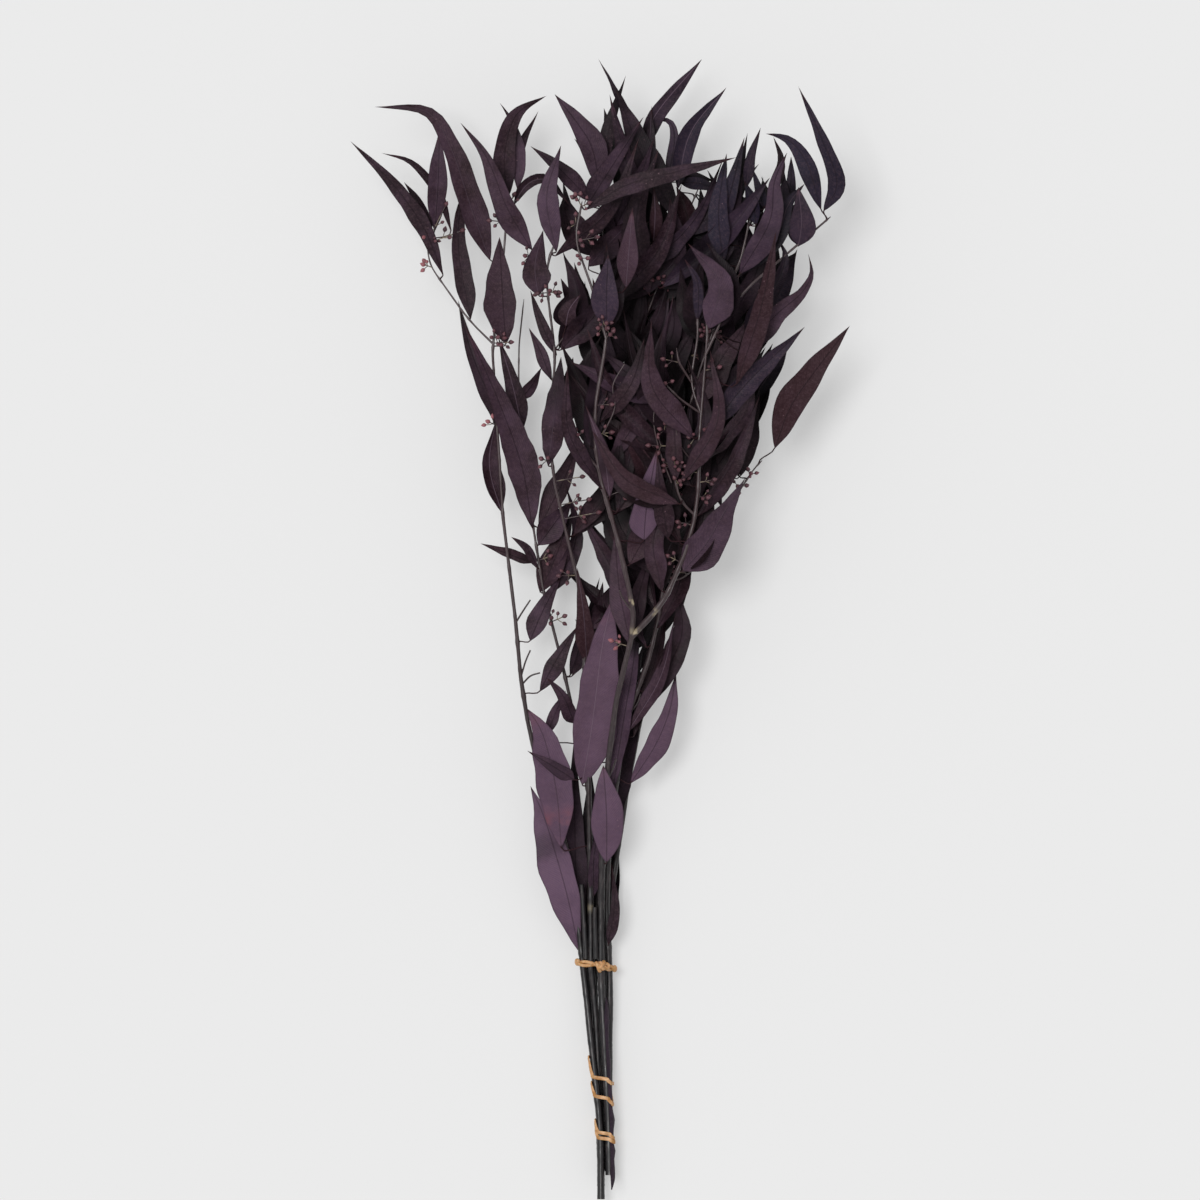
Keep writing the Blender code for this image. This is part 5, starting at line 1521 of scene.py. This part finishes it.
def leaf_shape(leaf, covers, settings, rng):
    """Fine leaf along a midrib: a round petiole, then a folded, rippled blade with thin margins."""
    node, root, midrib, width, roll, mark = leaf
    raised = Vector((0, 0, RAISED.get((node, mark), 0.0)))
    line = smooth([tuple(point + raised) for point in midrib], FINE_SPACING)
    length = lengths(line)[-1]
    rows = next(count for least, count in LEAF_ROWS if length >= least)
    columns = next(count for least, count in LEAF_COLUMNS if width >= least)
    fractions = [(i / rows) ** 1.15 for i in range(rows + 1)]
    points = petiole_points(root, line) + resample(line, fractions)
    frames = across(points, Vector((0, 0, 1)))
    start = frames[PETIOLE_ROWS][1]
    depth = settings.thickness / MM / 2
    habit = leaf_habit(node, mark, line, rng)
    ripple = settings.ripple / MM * habit.ripple
    ways = [-1 + 2 * k / (columns - 1) for k in range(columns)]
    corners = [(u, 1) for u in ways] + [(u, -1) for u in reversed(ways[1:-1])]
    along = lengths(points)
    rings, blades, shades_and_wears = [], [], []
    for i, (tangent, side, normal) in enumerate(frames[:-1]):
        t = fractions[max(0, i - PETIOLE_ROWS)]
        if i < PETIOLE_ROWS:
            side = (start - tangent * start.dot(tangent)).normalized()
            normal = side.cross(tangent)
        turn = roll + habit.twist * (t - WIDEST_AT) + habit.curl * max(0.0, t - 0.6) / 0.4
        spin = math.radians(turn) * clamp((i - PETIOLE_ROWS + 1) / 3)
        turned = Matrix.Rotation(spin, 3, tangent)
        side, normal = turned @ side, turned @ normal
        round_radius = 0.8 * PETIOLE_RADIUS * (0.9 + 0.5 * max(0.0, 1 - along[i] / 3))
        blade = habit.fullness * width / 2 * blade_share(t, habit.peak, habit.drawn)
        half = max(blade if i > PETIOLE_ROWS else 0.0, round_radius)
        if t > 0.9:
            half = min(half, max(blade, 0.2))
        flat = clamp((i - PETIOLE_ROWS) / 2)
        # Painted shade: darker where other leaves lie over this part of the blade
        above = np.interp(t, np.linspace(0, 1, len(covers)), covers) + PAINTED_SHADE_COVERS.get(mark, 0.0)
        deep = 1 - math.exp(-above / COVER_COUNT)
        tip_dry = habit.dry_tip * max(0.0, t - DRY_FROM) / 0.18
        dry = max(tip_dry, habit.blemish * bell(t - BLEMISH[0], BLEMISH[1]))
        ring = []
        for u, face in corners:
            phase = habit.phases[u > 0]
            edge = 1 + 0.05 * math.sin(2 * math.pi * along[i] / (1.4 * habit.wave) + phase * 2)
            wide = half * u * (1 + habit.lean * (1 if u > 0 else -1)) * edge
            swing = math.sin(2 * math.pi * along[i] / habit.wave + phase)
            swing = ripple * min(1.0, half / 5) * u * u * swing
            lift = habit.fold * half * (abs(u) ** 1.3 - 0.45) + swing + face * depth * (1 - u * u)
            round_height = face * round_radius * math.sqrt(max(0.0, 1 - u * u))
            ring.append(points[i] + side * wide + normal * (flat * lift + (1 - flat) * round_height))
            blades.append((u * half * MM, along[i] * MM, half * MM))
            shades_and_wears.append((DEEPEST_PAINTED_SHADE * deep, habit.pale, dry))
        sunk = max(0.0, TABLE_GAP - min(point.z for point in ring))
        rings.append([point + Vector((0, 0, sunk)) for point in ring])
    blades.append((0.0, along[-1] * MM, 0.0))
    shades_and_wears.append((shades_and_wears[-1][0], habit.pale, habit.dry_tip))
    tip = points[-1]
    return *quad_skin(rings, Vector((tip.x, tip.y, max(tip.z, TABLE_GAP)))), blades, shades_and_wears


def strip_shape(wood):
    """Strip of leaf wrapped on the front stem's flank, under the bands: it flares between them."""
    rings, blades = [], []
    top, bottom = STRIP[0][0], STRIP[-1][0]
    middle = STRIP_TURNS[3]
    for y, reach, _ in smooth([(y, reach, 0) for y, reach in STRIP], FINE_SPACING):
        x, z, radius = bundle_at([wood], max(y, wood.line[0].y + 0.1))[0]
        taper = min(1.0, (y - bottom + 1) / STRIP_TAPER, (top - y + 1) / STRIP_TAPER)
        end = 1 - min(1.0, (y - bottom) / STRIP_END[0])
        outer, inner = [], []
        for k, turn in enumerate(STRIP_TURNS):
            angle = middle + (turn - middle) * max(0.12, taper) + STRIP_END[1] * end
            way = Vector((math.cos(angle), 0, math.sin(angle)))
            flare = reach * max(0.0, 1 - k / 4)
            outer.append(Vector((x, y, z)) + way * (radius + STRIP_SKIN[0] + flare))
            inner.append(Vector((x, y, z)) + way * (radius + STRIP_SKIN[1] + flare))
            blades.append(((k - 3) * MM, (y - bottom) * MM, 3.5 * MM))
        blades += [blades[-1]] * len(STRIP_TURNS)
        rings.append(outer + inner[::-1])
    # A fixed painted shade over the whole strip, with a little pale midrib
    return *quad_skin(rings), blades, [STRIP_SHADE_AND_WEAR] * len(blades)


def make_leaves(settings):
    """One piece of leaves for each stem."""
    woods, bunch = layout()
    leaves = bunch.leaves + under_leaves(bunch.leaves)
    # Counts of leaves lying over each leaf, for its painted shade
    covers = leaf_covers(leaves)
    material = leaf_material(settings)
    for node in STEMS:
        verts, faces, blades, tones, shades_and_wears, shapes = [], [], [], [], [], []
        for place, leaf in enumerate(leaves):
            if leaf[0] == node:
                rng = random.Random(SEED * 1000 + place)
                tone = leaf_tone(node, leaf[5], leaf[2][len(leaf[2]) // 2], rng)
                shapes.append((leaf_shape(leaf, covers[place], settings, rng), tone))
        if node == "stem_front":
            front = next(wood for wood in woods if wood.node == node)
            shapes.append((strip_shape(front), STRIP_TONE))
        for (leaf_verts, leaf_faces, leaf_blades, leaf_shades_and_wears), tone in shapes:
            base = len(verts)
            verts += leaf_verts
            faces += [tuple(base + k for k in face) for face in leaf_faces]
            blades += leaf_blades
            shades_and_wears += leaf_shades_and_wears
            tones += [tone] * len(leaf_verts)
        name = node + "_leaves"
        mesh = make_mesh(name, verts, [], faces, {"blade": blades, "tone": tones, "shade_and_wear": shades_and_wears})
        mesh.shade_smooth()
        mesh.set_sharp_from_angle(angle=SHARP_EDGE)
        mesh.materials.append(material)
        attach(new_object(name, mesh), node)


def soften(points, passes):
    """Line with its bends eased and its ends kept."""
    for _ in range(passes):
        inner = [(a + 2 * b + c) / 4 for a, b, c in zip(points, points[1:], points[2:])]
        points = [points[0], *inner, points[-1]]
    return points


def youth(point):
    """How young the bark is at a point: 0 at the cut ends, 1 in the upper wood."""
    return clamp((point.y - OLD_UP_TO) / AGEING)


def wood_path(wood, roots, rng):
    """Points of a stem or twig with radius and age (young, scar, cut), swollen at its joints."""
    total = lengths(wood.line)[-1]
    count = math.ceil(total / WOOD_SPACING)
    points = soften(resample(wood.line, [i / count for i in range(count + 1)]), 3)
    points.insert(1, points[0].lerp(points[1], 0.12))
    knots = []
    place = rng.uniform(*FIRST_KNOT)
    while place < total:
        knots.append(place)
        place += rng.uniform(*KNOT_SPACING)
    path = []
    for i, (point, along) in enumerate(zip(points, lengths(points))):
        radius = wood.radii[0] + (wood.radii[-1] - wood.radii[0]) * (along / total)
        joint = max([bell((point - root).length, JOINT[0]) for root in roots] or [0.0])
        knot = max([bell(along - knot, KNOT[0]) for knot in knots] or [0.0])
        swell = JOINT[1] * joint + KNOT[1] * knot
        taper = min(1.0, 0.35 + 0.65 * (total - along) / TIP_LENGTH)
        wander = 1 + 0.05 * math.sin(along / 5.1 + radius * 9) + rng.uniform(-0.03, 0.03)
        young = youth(point)
        scar = max(
            weight * bell(math.hypot(point.x - x, point.y - y), SCAR_REACH) for x, y, weight in SCARS)
        slim = 1.0 if wood.node == "stem_front" else 1 - SLIMMER * young
        age = (young, scar, 1.0 if i == 0 else 0.0)
        path.append((point, (radius * slim * wander + swell) * taper, age))
    return path


def bud_paths(buds, settings, rng):
    """Stalks with their points, and the place, aim, size and blush of each bud on them."""
    paths, blooms = [], []
    below = settings.length / MM * BUD_BELOW
    for root, heart in buds:
        aim = (heart - root).normalized()
        fork = root.lerp(heart, FORK_AT)
        near = any(math.hypot(heart.x - x, heart.y - y) < PINK_REACH for x, y in PINK_BUDS)
        blush = PINK if near else 0.0
        ends = [(root, heart, aim, 1.0)]
        side = aim.cross(Vector((0, 0, 1))).normalized()
        count = rng.randint(min(2, settings.companions), settings.companions)
        for k in range(count):
            turn = Matrix.Rotation(math.radians(rng.uniform(*COMPANION_TILT)), 3, side.cross(aim))
            turn = Matrix.Rotation(2 * math.pi * (k + rng.uniform(-0.2, 0.2)) / count, 3, aim) @ turn
            way = turn @ aim
            end = fork + way * rng.uniform(*COMPANION_REACH)
            ends.append((fork, end, way, rng.uniform(*COMPANION_SIZE)))
        for start, end, way, scale in ends:
            base = end - way * below * scale
            middle = start.lerp(base, 0.5) + Vector((rng.uniform(-.3, .3), rng.uniform(-.3, .3), -0.25))
            line = smooth([tuple(start), tuple(middle), tuple(base + way * 0.4)], 1.5)
            paths.append([(point, STALK_RADII[start is root], STALK_AGE) for point in line])
            blooms.append((end, way, scale, blush * rng.uniform(0.7, 1.0) + rng.uniform(0.0, 0.15)))
    return paths, blooms


def make_line_piece(name, paths):
    """Object of bare lines with radius and age on their points."""
    verts, edges, radii, ages = [], [], [], []
    for path in paths:
        base = len(verts)
        verts += [point for point, _, _ in path]
        radii += [radius * MM for _, radius, _ in path]
        ages += [age for _, _, age in path]
        edges += [(base + k, base + k + 1) for k in range(len(path) - 1)]
    return new_object(name, make_mesh(name, verts, edges, [], {"radius": radii, "age": ages}))


def make_wood(settings):
    """One piece of stem and twigs for each stem."""
    woods, bunch = layout()
    material = bark_material(settings)
    tree = round_path_tree()
    for node in STEMS:
        rng = random.Random(node)
        roots = [leaf[1] for leaf in bunch.leaves if leaf[0] == node]
        paths = [wood_path(wood, roots, rng) for wood in woods if wood.node == node]
        for radius, spur in SPURS.get(node, []):
            line = smooth(spur, WOOD_SPACING)
            age = (youth(line[0]), 0.0, 0.0)
            paths.append([
                (point, radius * (1 - SPUR_TAPER * k / len(line)), age) for k, point in enumerate(line)])
        obj = make_line_piece(node + "_wood", paths)
        lay_skin(obj, tree, (settings.sides, settings.grain_size, settings.grain_depth), material)
        attach(obj, node)


def make_buds(settings, wood_settings):
    """One piece of buds and one of their stalks for each stem that bears some."""
    bunch = layout()[1]
    material = bud_material(settings)
    bark = bark_material(wood_settings)
    stalk_tree = round_path_tree()
    tree = bud_tree()
    for node in STEMS:
        rng = random.Random(node + "_buds")
        buds = [(root, heart) for owner, root, heart in bunch.buds if owner == node]
        if not buds:
            continue
        paths, blooms = bud_paths(buds, settings, rng)
        stalks = make_line_piece(node + "_stalks", paths)
        lay_skin(stalks, stalk_tree, STALK_SKIN, bark)
        attach(stalks, node)
        name = node + "_buds"
        ends, ways, scales, blushes = zip(*blooms)
        points = make_mesh(name, ends, [], [], {"aim": ways, "size": scales, "blush": blushes})
        obj = new_object(name, points)
        apply_tree(obj, tree, {
            "Length": settings.length, "Radius": settings.radius, "Sides": BUD_SIDES, "Rings": BUD_RINGS,
            "Material": material,
        })
        attach(obj, node)


def refine(points, outs, parts):
    """Closed line with more points, and the outward side at each."""
    fine, sides = [], []
    count = len(points)
    for k in range(count):
        near = [points[(k + j) % count] for j in (-1, 0, 1, 2)]
        for step in range(parts):
            fine.append(between(*near, step / parts))
            sides.append(outs[k].lerp(outs[(k + 1) % count], step / parts).normalized())
    return fine, sides


def ring_edges(count, base=0):
    """Edges of a closed line."""
    return [(base + k, base + (k + 1) % count) for k in range(count)]


def eased(values, share):
    """Value at a share of a closed list, on a smooth curve through its entries."""
    place = share * len(values)
    return between(*(values[(int(place) + j) % len(values)] for j in (-1, 0, 1, 2)), place % 1)


def hug(woods, stations, gap, thickness):
    """Closed line of a band round the stems, and its outward side, from angles, heights and lifts."""
    points, outs = [], []
    for angle, y, lift in stations:
        x, z = math.cos(angle), math.sin(angle)
        cx, cz, radius = max(bundle_at(woods, y), key=lambda c: c[0] * x + c[1] * z + c[2])
        reach = radius + gap + thickness / 2 + lift
        points.append(Vector((cx + reach * x, y, cz + reach * z)))
        outs.append(Vector((x, 0, z)))
    return points, outs


def wound_stations(heights, lifts, thickness):
    """Angle, y and lift of each point of a band that goes twice round the stems."""
    count = 2 * BAND_POINTS
    for k in range(count):
        lift = max(0.0, eased(lifts, k / count)) * (thickness + WINDING_ROOM)
        yield math.pi - 4 * math.pi * k / count, eased(heights, k / count), lift


def rope_stations():
    """Angle, y and lift of each point of the twisted band's path."""
    middle, slant, lift = ROPE_PATH
    for k in range(BAND_POINTS):
        angle = 2 * math.pi * k / BAND_POINTS
        yield angle, middle + slant * math.cos(angle), lift


def strand(points, outs, phase, twists, radius):
    """One strand of the rope that twists about a closed line."""
    flat, tall = ROPE_SECTION
    count = len(points)
    line = []
    for k, (point, away) in enumerate(zip(points, outs)):
        tangent = (points[(k + 1) % count] - points[k - 1]).normalized()
        side = away.cross(tangent).normalized()
        out = tangent.cross(side)
        turn = 2 * math.pi * twists * k / count + phase
        line.append(point + (side * flat * math.cos(turn) + out * tall * math.sin(turn)) * radius)
    return line


def knot_lines(knot):
    """Turns of the knot at a place, and the loop left over."""
    lines = []
    for tilt, reach, shift in KNOT_TURNS:
        spin = Matrix.Rotation(math.radians(tilt), 3, "Z")
        line = []
        for k in range(KNOT_POINTS):
            angle = 2 * math.pi * k / KNOT_POINTS
            wave, out, up = math.sin(2 * angle), math.cos(angle), math.sin(angle)
            way = Vector((0.3 * wave, reach * out, 0.8 * reach * up))
            line.append(knot + spin @ (way + Vector((shift, 0, 0))))
        lines.append(line)
    line = []
    for k in range(LOOP_POINTS):
        angle = 2 * math.pi * k / LOOP_POINTS
        out = 1 - math.cos(angle)
        way = Vector((LOOP_SIZE[0] * out / 2, LOOP_SIZE[1] * math.sin(angle), LOOP_DROOP * out))
        line.append(knot + LOOP_START + way)
    return lines + [line]


def make_flat_bands(settings):
    """The two flat bands, each wound twice round the stems."""
    woods = layout()[0]
    material = rubber_material(settings)
    tree = flat_path_tree()
    for node, (heights, lifts) in WINDINGS.items():
        thickness = settings.thickness / MM
        stations = wound_stations(heights, lifts, thickness)
        points, outs = refine(*hug(woods, stations, WINDING_GAP, thickness), FLAT_PARTS)
        name = node + "_rubber"
        obj = new_object(name, make_mesh(name, points, ring_edges(len(points)), [], {"out": outs}))
        apply_tree(obj, tree, {
            "Width": settings.width, "Thickness": settings.thickness, "Material": material,
        })
        attach(obj, node)


def make_twisted_band(settings):
    """The upper band: two strands twisted round the stems, a knot and the loop left over."""
    points, outs = hug(layout()[0], rope_stations(), BAND_GAP, ROPE_HEIGHT)
    knot = max(points, key=lambda point: point.z - 2 * abs(point.x - KNOT_AT)) + KNOT_RISE
    points, outs = refine(points, outs, ROPE_PARTS)
    radius = settings.strand_radius / MM
    lines = [strand(points, outs, phase, settings.twists, radius) for phase in (0.0, math.pi)]
    verts, edges = [], []
    for line in lines + knot_lines(knot):
        edges += ring_edges(len(line), len(verts))
        verts += line
    name = "band_upper_rubber"
    radii = [settings.strand_radius] * len(verts)
    obj = new_object(name, make_mesh(name, verts, edges, [], {"radius": radii}))
    lay_skin(obj, round_path_tree(), STRAND_SKIN, rubber_material(settings))
    attach(obj, "band_upper")


def make_stage(settings):
    """Pale floor, soft light from the upper left and a camera that looks straight down."""
    half = FLOOR_HALF
    corners = [(x, y, -FLOOR_DEPTH) for x, y in (
        (-half, -half), (half, -half), (half, half), (-half, half))]
    mesh = bpy.data.meshes.new("seamless_floor")
    mesh.from_pydata(corners, [], [(0, 1, 2, 3)])
    mesh.materials.append(sheet_material(settings))
    new_object("seamless_floor", mesh)
    scene = bpy.context.scene
    scene.view_settings.view_transform = "Standard"
    world = bpy.data.worlds.new("studio")
    world.use_nodes = True
    sky = world.node_tree.nodes["Background"]
    sky.inputs["Color"].default_value = (1, 1, 1, 1)
    sky.inputs["Strength"].default_value = settings.ambient
    scene.world = world
    lamp = bpy.data.lights.new("key_light", "SUN")
    lamp.energy = settings.key
    lamp.angle = settings.key_angle
    key = bpy.data.objects.new("key_light", lamp)
    key.rotation_euler = Vector(KEY_FROM).to_track_quat("Z", "Y").to_euler()
    scene.collection.objects.link(key)
    lens = bpy.data.cameras.new("camera")
    lens.angle = 2 * math.atan(settings.view_width / 2 / settings.camera_height)
    lens.clip_end = CAMERA_REACH
    camera = bpy.data.objects.new("camera", lens)
    camera.location = (PICTURE_CENTRE[0] * MM, PICTURE_CENTRE[1] * MM, settings.camera_height)
    scene.collection.objects.link(camera)
    scene.camera = camera


class OBJECT_OT_eucalyptus_leaves(Operator):
    """Grow the leaves of every stem"""

    bl_idname = "object.eucalyptus_leaves"
    bl_label = "Leaves"

    def execute(self, context):
        make_leaves(context.scene.eucalyptus_leaves)
        return {"FINISHED"}


class OBJECT_OT_eucalyptus_wood(Operator):
    """Build the stems and twigs"""

    bl_idname = "object.eucalyptus_wood"
    bl_label = "Stems and Twigs"

    def execute(self, context):
        make_wood(context.scene.eucalyptus_wood)
        return {"FINISHED"}


class OBJECT_OT_eucalyptus_buds(Operator):
    """Set the flower buds on their stalks"""

    bl_idname = "object.eucalyptus_buds"
    bl_label = "Flower Buds"

    def execute(self, context):
        make_buds(context.scene.eucalyptus_buds, context.scene.eucalyptus_wood)
        return {"FINISHED"}


class OBJECT_OT_eucalyptus_flat_bands(Operator):
    """Wind the two flat rubber bands round the stems"""

    bl_idname = "object.eucalyptus_flat_bands"
    bl_label = "Flat Bands"

    def execute(self, context):
        make_flat_bands(context.scene.eucalyptus_bands)
        return {"FINISHED"}


class OBJECT_OT_eucalyptus_twisted_band(Operator):
    """Tie the twisted rubber band round the stems"""

    bl_idname = "object.eucalyptus_twisted_band"
    bl_label = "Twisted Band"

    def execute(self, context):
        make_twisted_band(context.scene.eucalyptus_bands)
        return {"FINISHED"}


class OBJECT_OT_eucalyptus_stage(Operator):
    """Set up the floor, the light and the camera"""

    bl_idname = "object.eucalyptus_stage"
    bl_label = "Stage"

    def execute(self, context):
        make_stage(context.scene.eucalyptus_stage)
        return {"FINISHED"}


class VIEW3D_PT_eucalyptus(Panel):
    """Sizes, colours and makers of the bunch"""

    bl_idname = "VIEW3D_PT_eucalyptus"
    bl_label = "Eucalyptus Bunch"
    bl_space_type = "VIEW_3D"
    bl_region_type = "UI"
    bl_category = "Eucalyptus"

    def draw(self, context):
        for settings, makers in PANEL_GROUPS:
            box = self.layout.box()
            group = getattr(context.scene, settings)
            for name in group.bl_rna.properties.keys():
                if name not in ("rna_type", "name"):
                    box.prop(group, name)
            for maker in makers:
                box.operator(maker.bl_idname)


SETTINGS = {
    "eucalyptus_leaves": EucalyptusLeafSettings,
    "eucalyptus_wood": EucalyptusWoodSettings,
    "eucalyptus_buds": EucalyptusBudSettings,
    "eucalyptus_bands": EucalyptusBandSettings,
    "eucalyptus_stage": EucalyptusStageSettings,
}
PANEL_GROUPS = (
    ("eucalyptus_leaves", (OBJECT_OT_eucalyptus_leaves,)),
    ("eucalyptus_wood", (OBJECT_OT_eucalyptus_wood,)),
    ("eucalyptus_buds", (OBJECT_OT_eucalyptus_buds,)),
    ("eucalyptus_bands", (OBJECT_OT_eucalyptus_flat_bands, OBJECT_OT_eucalyptus_twisted_band)),
    ("eucalyptus_stage", (OBJECT_OT_eucalyptus_stage,)),
)
MAKERS = tuple(maker for _, makers in PANEL_GROUPS for maker in makers)
CLASSES = (*SETTINGS.values(), *MAKERS, VIEW3D_PT_eucalyptus)


def register():
    """Make the settings, operators and panel known."""
    for kind in CLASSES:
        bpy.utils.register_class(kind)
    for name, kind in SETTINGS.items():
        setattr(bpy.types.Scene, name, PointerProperty(type=kind))


def unregister():
    """Forget the settings, operators and panel."""
    for name in SETTINGS:
        delattr(bpy.types.Scene, name)
    for kind in reversed(CLASSES):
        bpy.utils.unregister_class(kind)


def main():
    """Make every piece."""
    register()
    bpy.ops.object.eucalyptus_stage()
    bpy.ops.object.eucalyptus_leaves()
    bpy.ops.object.eucalyptus_wood()
    bpy.ops.object.eucalyptus_buds()
    bpy.ops.object.eucalyptus_flat_bands()
    bpy.ops.object.eucalyptus_twisted_band()


if __name__ == "__main__":
    main()
